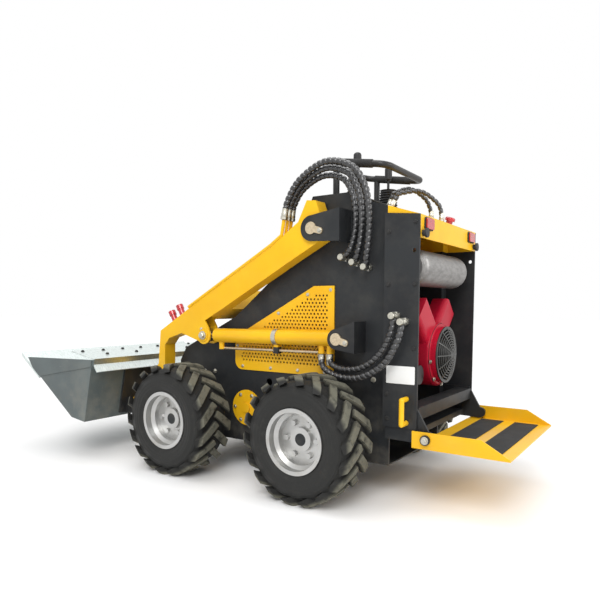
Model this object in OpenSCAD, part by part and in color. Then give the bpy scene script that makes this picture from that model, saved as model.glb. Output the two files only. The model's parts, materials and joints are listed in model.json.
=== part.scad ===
// Compact stand-on wheeled skid steer loader.
// X points forward, Y to the left and Z up. Outlines are laid out from the
// middle of the wheelbase and then shifted, so that the origin lies on the
// ground below the middle of the whole machine.

/* [Wheels] */
// Distance between the front and rear axles
wheel_base = 727; // [700:1:760]
// Diameter of a tyre over the tips of its lugs
tyre_d = 508; // [490:1:516]
// Width of a tyre over its lugs
tyre_w = 210; // [196:1:216]
// Distance between the middles of the left and right tyres
wheel_track = 932; // [926:1:980]
// Height of the lugs above the carcass
lug_h = 20; // [12:1:24]
// Width of a lug
lug_w = 30; // [20:1:36]
// Lugs on each half of a tyre
lug_count = 18; // [14:1:20]
// Angle of the lugs to the axle
lug_skew = 38; // [25:1:45]
// Diameter of the rim flanges
rim_d = 262; // [250:1:272]
// Width over the rim flanges
rim_w = 182; // [172:1:190]
// Wheel nuts on each rim
nut_count = 6; // [4:1:8]

/* [Chassis] */
// Width over the two side plates
chassis_w = 540; // [520:1:544]
// Thickness of the side plates
plate_t = 8; // [6:0.5:10]
// Rear edge of the side plates behind mid wheelbase
chassis_rear = 632; // [620:1:640]
// Front edge of the side plates ahead of mid wheelbase
chassis_front = 546; // [530:1:552]
// Underside of the chassis above the ground
ground_clear = 138; // [120:1:150]
// Top of the pivot tower above the ground
tower_z = 1240; // [1225:1:1260]
// Thickness of the folded sheets
sheet_t = 5; // [3:0.5:6]
// Depth of the hood below the edges of the side plates
hood_drop = 65; // [60:1:80]
// Hole spacing of the perforated side covers
perforation_pitch = 18; // [18:1:30]
// Diameter of a perforation
perforation_d = 10; // [8:1:12]

/* [Rear bay and console] */
// Rear face of the machine behind mid wheelbase
rear_face = 774; // [766:1:790]
// Width over the rear panels
rear_w = 660; // [650:1:680]
// Lower edge of the rear panels above the ground
rear_panel_z = 312; // [305:1:325]
// Top of the console at its rear edge
console_rear_z = 1118; // [1110:1:1125]
// Top of the console at its front edge
console_front_z = 1222; // [1216:1:1224]
// Height of the console's rear face
console_face = 86; // [80:1:95]
// Height of the engine's crankshaft
crank_z = 574; // [570:1:590]
// Diameter of the engine's fan guard
guard_d = 222; // [210:1:240]

/* [Lift arms] */
// Arm pivot behind mid wheelbase
arm_pivot_back = 317; // [312:1:322]
// Arm pivot above the ground
arm_pivot_z = 1093; // [1088:1:1098]
// Forward reach from the arm pivot to the bucket hinge
arm_reach = 1145; // [1135:1:1150]
// Drop from the arm pivot to the bucket hinge
arm_drop = 853; // [848:1:858]
// Width of an arm box
arm_w = 68; // [60:1:68]
// Gap between the side plates and the arms
arm_gap = 12; // [10:1:12]
// Thickness of the arm plates
arm_t = 8; // [6:0.5:10]
// Diameter of the arm pivot pins
arm_pin_d = 40; // [30:1:44]
// Diameter of the bucket hinge pins
hinge_pin_d = 30; // [22:1:32]

/* [Cylinders] */
// Lift cylinder's base pin behind mid wheelbase
lift_base_back = 439; // [434:1:444]
// Lift cylinder's base pin above the ground
lift_base_z = 644; // [640:1:648]
// Outside diameter of the lift cylinders
lift_barrel_d = 66; // [58:1:66]
// Diameter of the lift rods
lift_rod_d = 35; // [28:1:40]
// Diameter of the lift cylinder pins
lift_pin_d = 32; // [24:1:34]
// Outside diameter of the tilt cylinder
tilt_barrel_d = 62; // [54:1:64]
// Diameter of the tilt rod
tilt_rod_d = 32; // [26:1:36]
// Diameter of the tilt cylinder pins
tilt_pin_d = 28; // [20:1:30]

/* [Bucket] */
// Width over the bucket's side plates
bucket_w = 1200; // [1150:1:1260]
// Depth from the bucket's top rear corner to its cutting edge
bucket_depth = 627; // [600:1:650]
// Height from the heel to the top rear corner
bucket_h = 316; // [300:1:330]
// Distance from the bucket's back to the hinge pins
hinge_stand = 46.5; // [44:0.5:52]
// Sheet thickness of the bucket
bucket_t = 8; // [5:0.5:10]
// Lever from the hinge pins to the tilt rod's pin
tilt_lever = 145; // [140:1:150]

/* [Platform] */
// Hinge of the platform behind mid wheelbase
platform_hinge_back = 819; // [815:1:824]
// Hinge of the platform above the ground
platform_hinge_z = 283; // [280:1:287]
// Rear edge of the platform behind mid wheelbase
platform_rear = 1127; // [1100:1:1150]
// Underside of the platform floor above the ground
platform_floor_z = 247; // [243:1:252]
// Width over the platform's flanges
platform_w = 700; // [696:1:716]
// Thickness of the platform's floor and flanges
platform_t = 6; // [4:0.5:7]

/* [Controls] */
// Rear bar of the hand rail behind mid wheelbase
rail_back = 565; // [555:1:575]
// Height of the hand rail's rear bar
rail_z = 1352; // [1345:1:1360]
// Width between the middles of the rail's legs
rail_w = 380; // [360:1:400]
// Diameter of the rail tube
rail_d = 28; // [22:1:32]
// Top of the joystick knobs above the ground
stick_z = 1428; // [1420:1:1440]

/* [Hidden] */

$fn = 48;
// Overrun of every cut past the face that it opens
over = 1;
// Diametral clearance of a running pin in its bore
pin_fit = 0.1;
// Clearance between pieces that are seated on each other
seat = 0.3;
// Straight stretches that make up a rounded corner
corner_steps = 5;

// Colours
paint = "gold";
dark_steel = "dimgray";
bright_steel = "silver";
rubber = "black";
engine_red = "crimson";

// Y planes of the layout, all to the left of the middle
plate_out = chassis_w / 2;
plate_in = plate_out - plate_t;
arm_in = plate_out + arm_gap;
arm_out = arm_in + arm_w;
arm_mid = (arm_in + arm_out) / 2;
bracket_gap = 5;
bracket_t = 10;
bracket_in = arm_out + bracket_gap;
bracket_out = bracket_in + bracket_t;
panel_out = rear_w / 2;
panel_in = panel_out - plate_t;
axle_x = wheel_base / 2;
axle_z = tyre_d / 2;

// Pins of the linkage as [x, z]
arm_pivot = [-arm_pivot_back, arm_pivot_z];
hinge = arm_pivot + [arm_reach, -arm_drop];
knee_shares = [0.5441, 0.5358];
knee = arm_pivot + [knee_shares[0] * arm_reach, -knee_shares[1] * arm_drop];
lift_base = [-lift_base_back, lift_base_z];
cross_shares = [0.506, 0.3646];
cross_mid = arm_pivot + [cross_shares[0] * arm_reach, -cross_shares[1] * arm_drop];
arm_slope = -28;
tilt_base_ahead = 98;
tilt_base = cross_mid + tilt_base_ahead * [cos(arm_slope), sin(arm_slope)];
tilt_lever_angle = 118;
tilt_pin = hinge + tilt_lever * [cos(tilt_lever_angle), sin(tilt_lever_angle)];

// Bucket outline, from the hinge pins and the lean of its back
back_lean_share = 0.234;
back_lean = atan(back_lean_share);
heel_drop = 60;
heel = hinge + hinge_stand * [cos(back_lean), sin(back_lean)] - heel_drop * [-sin(back_lean), cos(back_lean)];
bucket_foot = heel - [bucket_h * back_lean_share, 0];
bucket_shares = [[0.290, 0.041], [0.8246, 0.7817], [0.8868, 0.9525]];
bucket_pts = concat([bucket_foot + [0, bucket_h], heel],
    [for (s = bucket_shares) bucket_foot + [s[0] * bucket_depth, s[1] * bucket_h]]);
bucket_tip_x = bucket_foot[0] + bucket_depth;

// The origin is below the middle of the whole length
frame_mid_x = (bucket_tip_x - platform_rear) / 2;

// Side plate outline in shares of its length and height
side_plate_shares = [[0, 0], [0.910, 0], [1, 0.102], [1, 0.328], [0.965, 0.388], [0.9015, 0.421],
    [0.686, 0.531], [0.638, 0.570], [0.477, 0.705], [0.3625, 0.882], [0.314, 1], [0.156, 1],
    [0.1375, 0.98], [0, 0.932]];
chassis_l = chassis_rear + chassis_front;
tower_h = tower_z - ground_clear;
side_plate_pts = [for (s = side_plate_shares) [s[0] * chassis_l - chassis_rear, s[1] * tower_h + ground_clear]];

// Perforated side cover
grille_l = 546;
grille_h = 384;
grille_rear_x = -375;
grille_low_z = 478;
grille_t = 6;
grille_border = 34;
grille_corner_r = 40;
grille_shares = [[0, 0], [1, 0], [1, 0.321], [0.907, 0.464], [0.185, 1], [0, 1]];
grille_pts = [for (s = grille_shares) [s[0] * grille_l + grille_rear_x, s[1] * grille_h + grille_low_z]];
grille_radii = [grille_corner_r, grille_corner_r, 0, 0, 0, 0];

// Arm outline in shares of its reach and drop
arm_shares = [[-0.0114, -0.1313], [0.0279, -0.1372], [0.0655, -0.0375], [0.1895, 0.0739], [0.2873, 0.1442],
    [0.6279, 0.3880], [0.8035, 0.5193], [0.8192, 0.7163], [1.0192, 0.9754], [0.9808, 1.0246],
    [0.7790, 0.7421], [0.7764, 0.6014], [0.7485, 0.5604], [0.6725, 0.5287], [0.5651, 0.5721],
    [0.5240, 0.5780], [0.5057, 0.5311], [0.5223, 0.4818], [0.5362, 0.4525], [0.4393, 0.3880],
    [0.1100, 0.1559], [-0.0026, 0.0785], [-0.0419, 0.0504], [-0.0480, -0.0082], [-0.0288, -0.0668]];
arm_pts = [for (s = arm_shares) arm_pivot + [s[0] * arm_reach, -s[1] * arm_drop]];
arm_boss_d = 84;
arm_boss_gap = 4;
hinge_boss_d = 56;
knee_boss_d = 84;
knee_room_r = 96;
knee_cap_d = 58;
knee_cap_t = 8;
knee_pin_d = 32;
cross_box = 104;

// Places a shape that was laid out from mid wheelbase
module in_frame() {
    translate([-frame_mid_x, 0, 0]) children();
}

// The shape and its mirror image on the right-hand side
module both_sides() {
    children();
    mirror([0, 1, 0]) children();
}

// The shape on the left (side 1) or right (side -1)
module on_side(side) {
    if (side > 0) children();
    else mirror([0, 1, 0]) children();
}

// Block between two corners
module block(low, high) {
    translate(low) cube(high - low);
}

// Plate with an outline in X and Z between two Y planes
module plate_xz(pts, y_low, y_high) {
    translate([0, y_high, 0]) rotate([90, 0, 0]) linear_extrude(y_high - y_low) polygon(pts);
}

// Plate with an outline in Y and Z between two X planes
module plate_yz(pts, x_low, x_high) {
    translate([x_low, 0, 0]) rotate([90, 0, 90]) linear_extrude(x_high - x_low) polygon(pts);
}

// Round bar across the machine at an [x, z] point
module bar_y(at, d, y_low, y_high) {
    translate([at[0], y_low, at[1]]) rotate([-90, 0, 0]) cylinder(d = d, h = y_high - y_low);
}

// Round bar along X at a [y, z] point
module bar_x(at, d, x_low, x_high) {
    translate([x_low, at[0], at[1]]) rotate([0, 90, 0]) cylinder(d = d, h = x_high - x_low);
}

// Round bar between two points
module bar(a, b, d) {
    v = b - a;
    translate(a) rotate([0, acos(v[2] / norm(v)), atan2(v[1], v[0])]) cylinder(d = d, h = norm(v));
}

// Tube along a short list of points, with a ball at each bend
module bent_bar(pts, d) {
    for (i = [1 : len(pts) - 1]) bar(pts[i - 1], pts[i], d);
    for (i = [1 : len(pts) - 2]) translate(pts[i]) sphere(d = d);
}

function unit(v) = v / norm(v);
function left_of(v) = [-v[1], v[0]];
function turned(v, a) = [v[0] * cos(a) - v[1] * sin(a), v[0] * sin(a) + v[1] * cos(a)];

// A polyline moved sideways to its left by t, with mitred corners
function beside(pts, t) = [for (i = [0 : len(pts) - 1])
    let (a = i > 0 ? unit(pts[i] - pts[i - 1]) : unit(pts[1] - pts[0]),
         b = i < len(pts) - 1 ? unit(pts[i + 1] - pts[i]) : a,
         m = left_of(a) + left_of(b))
    pts[i] + m * (2 * t / (m * m))];

// A closed outline moved inwards by t, for points that run clockwise when t > 0
function inset(pts, t) = let (n = len(pts)) [for (i = [0 : n - 1])
    let (a = unit(pts[i] - pts[(i + n - 1) % n]),
         b = unit(pts[(i + 1) % n] - pts[i]),
         m = left_of(a) + left_of(b))
    pts[i] - m * (2 * t / (m * m))];

// Outline of a sheet of thickness t along a polyline, on its left side
function sheet_outline(pts, t) = let (far = beside(pts, t), n = len(pts))
    concat(pts, [for (i = [n - 1 : -1 : 0]) far[i]]);

// A closed outline with each corner rounded to its own radius
function rounded(pts, radii) = let (n = len(pts)) [for (i = [0 : n - 1])
    let (p = pts[i],
         u = unit(pts[(i + n - 1) % n] - p),
         v = unit(pts[(i + 1) % n] - p),
         half = acos(u * v) / 2,
         r = radii[i],
         back = r / tan(half),
         mid = p + unit(u + v) * (r / sin(half)),
         from = p + u * back - mid,
         turn = (u[0] * v[1] - u[1] * v[0] > 0 ? -1 : 1) * (180 - 2 * half))
    for (k = [0 : (r > 0 ? corner_steps : 0)]) r > 0 ? mid + turned(from, turn * k / corner_steps) : p];

// Side plates

axle_tube_d = 90;
side_hole_at = [-27, 429];
side_hole_d = 34;

module side_plate(side) {
    on_side(side) difference() {
        plate_xz(side_plate_pts, plate_in, plate_out);
        bar_y(arm_pivot, arm_pin_d + pin_fit, plate_in - over, plate_out + over);
        bar_y(lift_base, lift_pin_d + pin_fit, plate_in - over, plate_out + over);
        bar_y(side_hole_at, side_hole_d, plate_in - over, plate_out + over);
    }
}

module side_plate_left() {
    color(dark_steel) in_frame() side_plate(1);
}

module side_plate_right() {
    color(dark_steel) in_frame() side_plate(-1);
}

// Tub: bottom and front sheets between the side plates
tub_top_share = 0.30;
tub_front_in = 16;
tub_pts = [side_plate_pts[0], side_plate_pts[1], side_plate_pts[2] - [tub_front_in, 0],
    [chassis_front - tub_front_in, ground_clear + tub_top_share * tower_h]];

module belly_tub() {
    color(dark_steel) in_frame() plate_xz(sheet_outline(tub_pts, sheet_t), -plate_in, plate_in);
}

// Hood: sheet below the front edges of the side plates, up and over the tower
hood_edge_pts = [for (i = [4 : 10]) side_plate_pts[i]];
hood_low_pts = beside(hood_edge_pts, hood_drop);
tower_rear_x = side_plate_pts[11][0];
hood_pts = concat(
    [tub_pts[3] - [sheet_t, 0]],
    [for (i = [1 : 5]) hood_low_pts[i]],
    [[side_plate_pts[10][0], tower_z - sheet_t], [tower_rear_x, tower_z - sheet_t]]);

module hood() {
    color(dark_steel) in_frame() plate_xz(sheet_outline(hood_pts, -sheet_t), -plate_in, plate_in);
}

// Perforated covers on the sides
perforated_pts = inset([for (i = [len(grille_pts) - 1 : -1 : 0]) grille_pts[i]], grille_border);
row_share = 0.866;

// True for a point on the inner side of every edge of a clockwise outline
function within(p, pts) = max([for (i = [0 : len(pts) - 1])
    let (a = pts[i], b = pts[(i + 1) % len(pts)])
    (b[0] - a[0]) * (p[1] - a[1]) - (b[1] - a[1]) * (p[0] - a[0])]) <= 0;

// Staggered rows of holes inside the border
row_pitch = perforation_pitch * row_share;
perforations = [for (row = [0 : grille_h / row_pitch]) for (k = [0 : grille_l / perforation_pitch])
    let (p = [grille_rear_x + (k + row % 2 / 2) * perforation_pitch, grille_low_z + row * row_pitch])
    if (within(p, perforated_pts)) p];

module side_grille(side) {
    on_side(side) difference() {
        plate_xz(rounded(grille_pts, grille_radii), plate_out, plate_out + grille_t);
        for (p = perforations) bar_y(p, perforation_d, plate_out - over, plate_out + grille_t + over);
    }
}

module side_grille_left() {
    color(paint) in_frame() side_grille(1);
}

module side_grille_right() {
    color(paint) in_frame() side_grille(-1);
}

// Round covers over the drive chains
cover_at = [105, 298];
cover_d = 168;
cover_t = 6;
cover_boss_d = 46;
cover_boss_t = 8;

module chain_covers() {
    color(paint) in_frame() both_sides() {
        bar_y(cover_at, cover_d, plate_out, plate_out + cover_t);
        bar_y(cover_at, cover_boss_d, plate_out, plate_out + cover_t + cover_boss_t);
    }
}

// Rear panels with a return at their front edge
panel_front_x = -chassis_rear;
panel_rise = 14;

panel_hole_at = [-753, 985];
panel_hole_d = 16;

module rear_panel(side) {
    on_side(side) {
        difference() {
            plate_xz([[-rear_face, rear_panel_z], [panel_front_x, rear_panel_z],
                [panel_front_x, console_rear_z + panel_rise], [-rear_face, console_rear_z]],
                panel_in, panel_out);
            bar_y(panel_hole_at, panel_hole_d, panel_in - over, panel_out + over);
        }
        block([panel_front_x - plate_t, plate_in, rear_panel_z],
            [panel_front_x, panel_out, console_rear_z + panel_rise]);
    }
}

module rear_panel_left() {
    color(dark_steel) in_frame() rear_panel(1);
}

module rear_panel_right() {
    color(dark_steel) in_frame() rear_panel(-1);
}

// Console: a folded cover that is open below, wide behind and narrow in front
console_front_x = tower_rear_x;
console_lip = 40;
console_slope = (console_front_z - console_rear_z) / (console_front_x + rear_face);
console_step_x = panel_front_x - plate_t;
function console_top(x) = console_rear_z + console_slope * (x + rear_face);

module console_box(x_low, x_high, half_w, wall) {
    plate_xz([[x_low, console_rear_z - console_face - (wall > 0 ? over : 0)],
        [x_high, console_rear_z - console_face - (wall > 0 ? over : 0)],
        [x_high, console_top(x_high) - wall], [x_low, console_top(x_low) - wall]], -half_w, half_w);
}

module console() {
    color(paint) in_frame() difference() {
        union() {
            console_box(-rear_face, console_step_x, panel_in, 0);
            console_box(console_step_x - over, console_front_x, plate_in, 0);
        }
        console_box(-rear_face + sheet_t, console_step_x - sheet_t, panel_in - sheet_t, sheet_t);
        console_box(console_step_x - sheet_t - over, console_front_x - sheet_t, plate_in - sheet_t, sheet_t);
    }
}

// Lamps and bump stops on the console's rear face
lamp_y = 250;
lamp_z = 1088;
lamp_w = 70;
lamp_h = 40;
lamp_t = 12;
lamp_r = 6;

module tail_lamps() {
    low = [lamp_y - lamp_w / 2, lamp_z - lamp_h / 2];
    high = [lamp_y + lamp_w / 2, lamp_z + lamp_h / 2];
    color("red") in_frame() both_sides()
        plate_yz(rounded([low, [high[0], low[1]], high, [low[0], high[1]]], [lamp_r, lamp_r, lamp_r, lamp_r]),
            -rear_face - lamp_t, -rear_face);
}

stop_at = [300, 1050];
stop_d = 36;
stop_t = 20;
stop_head_t = 8;
stop_neck_d = 24;

module bump_stops() {
    color(rubber) in_frame() both_sides() {
        bar_x(stop_at, stop_neck_d, -rear_face - stop_t, -rear_face);
        bar_x(stop_at, stop_d, -rear_face - stop_t, -rear_face - stop_t + stop_head_t);
    }
}

// Engine on its deck
deck_z = 440;
deck_t = 8;
deck_front_x = -250;

module engine_deck() {
    color(dark_steel) in_frame()
        block([-chassis_rear, -plate_in, deck_z - deck_t], [deck_front_x, plate_in, deck_z]);
}

case_rear_x = -650;
case_l = 290;
case_w = 260;
case_h = 230;
cylinder_lean = 45;
cylinder_d = 128;
cylinder_l = 250;
fin_count = 6;
fin_d = 156;
fin_t = 6;
fin_pitch = 15;
fin_start = 150;
cylinder_x = -520;
port_w = 60;
port_z = 790;
port_y = 165;
starter_at = [165, 500];
starter_d = 78;
starter_rear_x = -716;
starter_l = 130;
intake_rear_x = -640;
intake_l = 80;
intake_w = 90;
intake_h = 95;

module engine_block() {
    color(dark_steel) in_frame() {
        block([case_rear_x, -case_w / 2, deck_z], [case_rear_x + case_l, case_w / 2, deck_z + case_h]);
        for (side = [1, -1]) translate([cylinder_x, 0, crank_z]) rotate([-side * cylinder_lean, 0, 0]) {
            cylinder(d = cylinder_d, h = cylinder_l);
            for (i = [0 : fin_count - 1])
                translate([0, 0, fin_start + i * fin_pitch]) cylinder(d = fin_d, h = fin_t);
        }
        both_sides() block([cylinder_x - port_w / 2, port_y - port_w / 2, crank_z + cylinder_l / 2],
            [cylinder_x + port_w / 2, port_y + port_w / 2, port_z]);
        bar_x(starter_at, starter_d, starter_rear_x, starter_rear_x + starter_l);
        block([intake_rear_x, -intake_w / 2, deck_z + case_h - over],
            [intake_rear_x + intake_l, intake_w / 2, deck_z + case_h + intake_h]);
    }
}

// Red fan shroud: a round housing with a rounded arm over each cylinder
shroud_rim_w = 8;
shroud_shoulder = 16;
shroud_d = guard_d + 2 * (shroud_rim_w + shroud_shoulder);
shroud_front_x = case_rear_x - seat;
shroud_face_x = -742;
shroud_rim_x = -762;
shroud_t = 5;
shroud_round = 14;
arm_face_x = -732;
arm_stagger = 14;
shroud_arm_in = 80;
shroud_arm_out = 52;
shroud_arm_l = 270;
shroud_arm_r = 24;

module along_x(x_low, x_high) {
    translate([x_low, 0, 0]) rotate([90, 0, 90]) linear_extrude(x_high - x_low) children();
}

// Turns a profile of [radius, distance rearwards] about the crankshaft
module about_crank(x, profile) {
    translate([x, 0, crank_z]) rotate([0, -90, 0]) rotate_extrude() polygon(profile);
}

// An arm: its round end, seen from behind, and its round edges, seen along it
module shroud_arm(rear_x, front_x, shrink) {
    low = shrink - shroud_arm_in;
    high = shroud_arm_out - shrink;
    top = shroud_arm_l - shrink;
    r = shroud_arm_r - shrink;
    intersection() {
        along_x(rear_x - over, front_x + over) translate([0, crank_z]) rotate(-cylinder_lean)
            polygon(rounded([[low - over, -over], [high + over, -over], [high + over, top], [low - over, top]],
                [0, 0, r, r]));
        translate([0, 0, crank_z]) rotate([-cylinder_lean, 0, 0]) linear_extrude(top + over)
            polygon(rounded([[front_x, low], [front_x, high], [rear_x, high], [rear_x, low]], [0, 0, r, r]));
    }
}

module shroud_arms(shrink, front_x) {
    for (side = [1, -1]) on_side(side)
        shroud_arm(arm_face_x + shrink + (side < 0 ? arm_stagger : 0), front_x, shrink);
}

module engine_shroud() {
    r = shroud_d / 2;
    rim_r = guard_d / 2 + shroud_rim_w;
    face = shroud_front_x - shroud_face_x;
    rim = shroud_front_x - shroud_rim_x;
    color(engine_red) in_frame() difference() {
        union() {
            about_crank(shroud_front_x, rounded(
                [[0, 0], [r, 0], [r, face], [rim_r, face], [rim_r, rim], [0, rim]],
                [0, 0, shroud_round, 0, 0, 0]));
            shroud_arms(0, shroud_front_x);
        }
        about_crank(shroud_front_x, rounded([[0, -over], [r - shroud_t, -over], [r - shroud_t, face - shroud_t],
            [guard_d / 2, face - shroud_t], [guard_d / 2, rim + over], [0, rim + over]],
            [0, 0, shroud_round - shroud_t, 0, 0, 0]));
        shroud_arms(shroud_t, shroud_front_x + over);
    }
}

// Domed guard over the fan: flat rings on bowed spokes
wire_d = 5;
ring_w = 5;
ring_count = 8;
spoke_count = 12;
spoke_steps = 6;
guard_hub_d = 54;
dome_h = 28;

function dome_rise(r) = dome_h * (1 - pow(2 * r / guard_d, 2));

module guard_ring(outer_d, inner_d, rise) {
    translate([0, 0, rise]) difference() {
        cylinder(d = outer_d, h = wire_d);
        translate([0, 0, -over]) cylinder(d = inner_d, h = wire_d + 2 * over);
    }
}

module fan_guard() {
    ring_step = (guard_d - guard_hub_d) / ring_count;
    spoke_in = guard_hub_d / 4;
    spoke_out = (guard_d - ring_w) / 2;
    spoke = [for (i = [0 : spoke_steps]) let (r = spoke_in + (spoke_out - spoke_in) * i / spoke_steps)
        [r, dome_rise(r)]];
    color(rubber) in_frame() translate([shroud_rim_x - seat, 0, crank_z]) rotate([0, -90, 0]) {
        guard_ring(guard_d + 2 * shroud_rim_w, guard_d - 2 * ring_w, 0);
        translate([0, 0, dome_rise(guard_hub_d / 2)]) cylinder(d = guard_hub_d, h = wire_d);
        for (i = [1 : ring_count - 1]) let (d = guard_hub_d + i * ring_step)
            guard_ring(d, d - 2 * ring_w, dome_rise(d / 2));
        for (i = [0 : spoke_count - 1]) rotate([0, 0, i * 360 / spoke_count])
            translate([0, wire_d / 2, 0]) rotate([90, 0, 0]) linear_extrude(wire_d)
                polygon(sheet_outline(spoke, wire_d));
    }
}

// Muffler across the top of the bay, on two bent exhaust pipes
muffler_x = -700;
muffler_z = 930;
muffler_d = 144;
muffler_l = 490;
muffler_end_r = 30;
exhaust_d = 42;
exhaust_z = 870;

module muffler() {
    r = muffler_d / 2;
    half = muffler_l / 2;
    profile = rounded([[0, -half], [r, -half], [r, half], [0, half]], [0, muffler_end_r, muffler_end_r, 0]);
    color(bright_steel) in_frame() {
        translate([muffler_x, 0, muffler_z]) rotate([-90, 0, 0]) rotate_extrude() polygon(profile);
        both_sides() bent_bar([[cylinder_x, port_y, port_z + seat], [cylinder_x, port_y, exhaust_z],
            [muffler_x, port_y, muffler_z]], exhaust_d);
    }
}

// Air cleaner in the vee of the cylinders
cleaner_d = 130;
cleaner_h = 96;
cleaner_x = -408;
cleaner_cap_d = 140;
cleaner_cap_h = 16;

module air_cleaner() {
    color(rubber) in_frame() translate([cleaner_x, 0, deck_z + case_h]) {
        cylinder(d = cleaner_d, h = cleaner_h);
        translate([0, 0, cleaner_h]) cylinder(d = cleaner_cap_d, h = cleaner_cap_h);
    }
}

// Hand rail: a closed loop of tube on two posts, with a grip along its front bar
rail_pitch = 9;
rail_leg_l = 304;
rail_bend_r = 46;
post_x = -330;
rail_grip_d = 34;
rail_grip_l = 250;
post_foot_d = 64;
post_foot_t = 6;

module rail_elbow() {
    rotate_extrude(angle = 90) translate([rail_bend_r, 0]) circle(d = rail_d);
}

module hand_rail() {
    bar_half = rail_w / 2 - rail_bend_r;
    color(rubber) in_frame() {
        translate([-rail_back, 0, rail_z]) rotate([0, -rail_pitch, 0]) {
            for (x = [0, rail_leg_l]) bar([x, -bar_half, 0], [x, bar_half, 0], rail_d);
            bar([rail_leg_l, -rail_grip_l / 2, 0], [rail_leg_l, rail_grip_l / 2, 0], rail_grip_d);
            both_sides() {
                translate([rail_bend_r, bar_half, 0]) rotate([0, 0, 90]) rail_elbow();
                translate([rail_leg_l - rail_bend_r, bar_half, 0]) rail_elbow();
                bar([rail_bend_r, rail_w / 2, 0], [rail_leg_l - rail_bend_r, rail_w / 2, 0], rail_d);
            }
        }
        both_sides() {
            post_top = rail_z + (post_x + rail_back) * tan(rail_pitch);
            bar([post_x, rail_w / 2, tower_z], [post_x, rail_w / 2, post_top], rail_d);
            bar([post_x, rail_w / 2, tower_z], [post_x, rail_w / 2, tower_z + post_foot_t], post_foot_d);
        }
    }
}

// Joysticks with bellows boots
stick_x = -410;
stick_y = 150;
boot_d = 72;
boot_top_d = 30;
boot_h = 76;
boot_folds = 4;
fold_share = 0.5;
pleat_share = 0.8;
stick_d = 12;
knob_d = 34;
knob_h = 62;
knob_r = 12;

module joysticks() {
    fold_h = boot_h / boot_folds;
    taper = (boot_top_d - boot_d) / boot_folds;
    folds = [for (i = [0 : boot_folds - 1]) let (r = (boot_d + taper * i) / 2)
        each [[r, i * fold_h], [r, (i + fold_share) * fold_h], [r * pleat_share, (i + 1) * fold_h]]];
    boot = concat([[0, 0]], folds, [[0, boot_h]]);
    knob = rounded([[0, 0], [knob_d / 2, 0], [knob_d / 2, knob_h], [0, knob_h]], [0, knob_r / 2, knob_r, 0]);
    color(rubber) in_frame() both_sides() translate([stick_x, stick_y, tower_z]) {
        rotate_extrude() polygon(boot);
        cylinder(d = stick_d, h = stick_z - tower_z - knob_r);
        translate([0, 0, stick_z - tower_z - knob_h]) rotate_extrude() polygon(knob);
    }
}

// Stop button on the console
button_at = [-700, -170];
button_d = 46;
button_stem_d = 30;
button_h = 34;

module stop_button() {
    top = console_top(button_at[0]);
    color("red") in_frame() translate([button_at[0], button_at[1], top]) rotate([0, -atan(console_slope), 0]) {
        cylinder(d = button_stem_d, h = button_h);
        translate([0, 0, button_h / 2]) rotate_extrude()
            polygon(rounded([[0, 0], [button_d / 2, 0], [button_d / 2, button_h / 2], [0, button_h / 2]],
                [0, 0, button_h / 4, 0]));
    }
}

// Cross beam between the rear panels and the fixed step below it
beam_z = 345;
beam_h = 48;
beam_d = 70;

module cross_beam() {
    color(dark_steel) in_frame() difference() {
        block([-rear_face, -hinge_bracket_in, beam_z],
            [-rear_face + beam_d, hinge_bracket_in, beam_z + beam_h]);
        block([-rear_face + plate_t, -hinge_bracket_in - over, beam_z - over],
            [-rear_face + beam_d - plate_t, hinge_bracket_in + over, beam_z + beam_h - plate_t]);
    }
}

bracket_plate_t = 10;
hinge_bracket_in = panel_in - bracket_plate_t;
step_z = 270;
step_t = 8;
step_front_x = -640;
step_rear_x = -742;

module rear_step() {
    color(dark_steel) in_frame() difference() {
        block([step_rear_x, -hinge_bracket_in, step_z], [step_front_x, hinge_bracket_in, step_z + step_t * 3]);
        block([step_rear_x + step_t, -hinge_bracket_in - over, step_z - over],
            [step_front_x - step_t, hinge_bracket_in + over, step_z + step_t * 2]);
    }
}

// Brackets that carry the platform's hinge
platform_hinge = [-platform_hinge_back, platform_hinge_z];
bracket_eye_d = 48;
platform_pin_d = 24;
pin_head_d = 38;
pin_head_t = 10;
flange_in = platform_w / 2 - platform_t;
bracket_top_z = 400;
bracket_low_z = 262;
bracket_front_x = -640;

module platform_brackets() {
    color(dark_steel) in_frame() both_sides() {
        plate_xz([[bracket_front_x, bracket_low_z], [bracket_front_x, bracket_top_z],
            [-rear_face + plate_t, bracket_top_z],
            platform_hinge + bracket_eye_d / 2 * [0, 1], platform_hinge - bracket_eye_d / 2 * [0, 1]],
            hinge_bracket_in, panel_in);
        bar_y(platform_hinge, bracket_eye_d, hinge_bracket_in, panel_in);
        bar_y(platform_hinge, pin_head_d, panel_in, flange_in - seat);
        bar_y(platform_hinge, platform_pin_d, panel_in, platform_w / 2 + seat + pin_head_t);
        bar_y(platform_hinge, pin_head_d, platform_w / 2 + seat, platform_w / 2 + seat + pin_head_t);
    }
}

// Tie-down loops of round bar on the rear panels
loop_x = -732;
loop_low_z = 334;
loop_high_z = 426;
loop_stand = 44;
loop_d = 20;

module tie_down_loops() {
    color(paint) in_frame() both_sides() bent_bar([
        [loop_x, panel_out, loop_low_z], [loop_x, panel_out + loop_stand, loop_low_z],
        [loop_x, panel_out + loop_stand, loop_high_z], [loop_x, panel_out, loop_high_z]], loop_d);
}

// Axles, from the side plates out to the wheel hubs
axle_flange_d = 150;
axle_flange_t = 10;
spindle_d = 50;
hub_in = 62;
hub_out = 40;
wheel_y = wheel_track / 2;

module axle_housings() {
    color(dark_steel) in_frame() both_sides() for (end = [1, -1]) {
        at = [end * axle_x, axle_z];
        bar_y(at, axle_flange_d, plate_out, plate_out + axle_flange_t);
        bar_y(at, axle_tube_d, plate_out, wheel_y - hub_in - seat);
        bar_y(at, spindle_d, plate_out, wheel_y + hub_out);
    }
}

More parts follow.
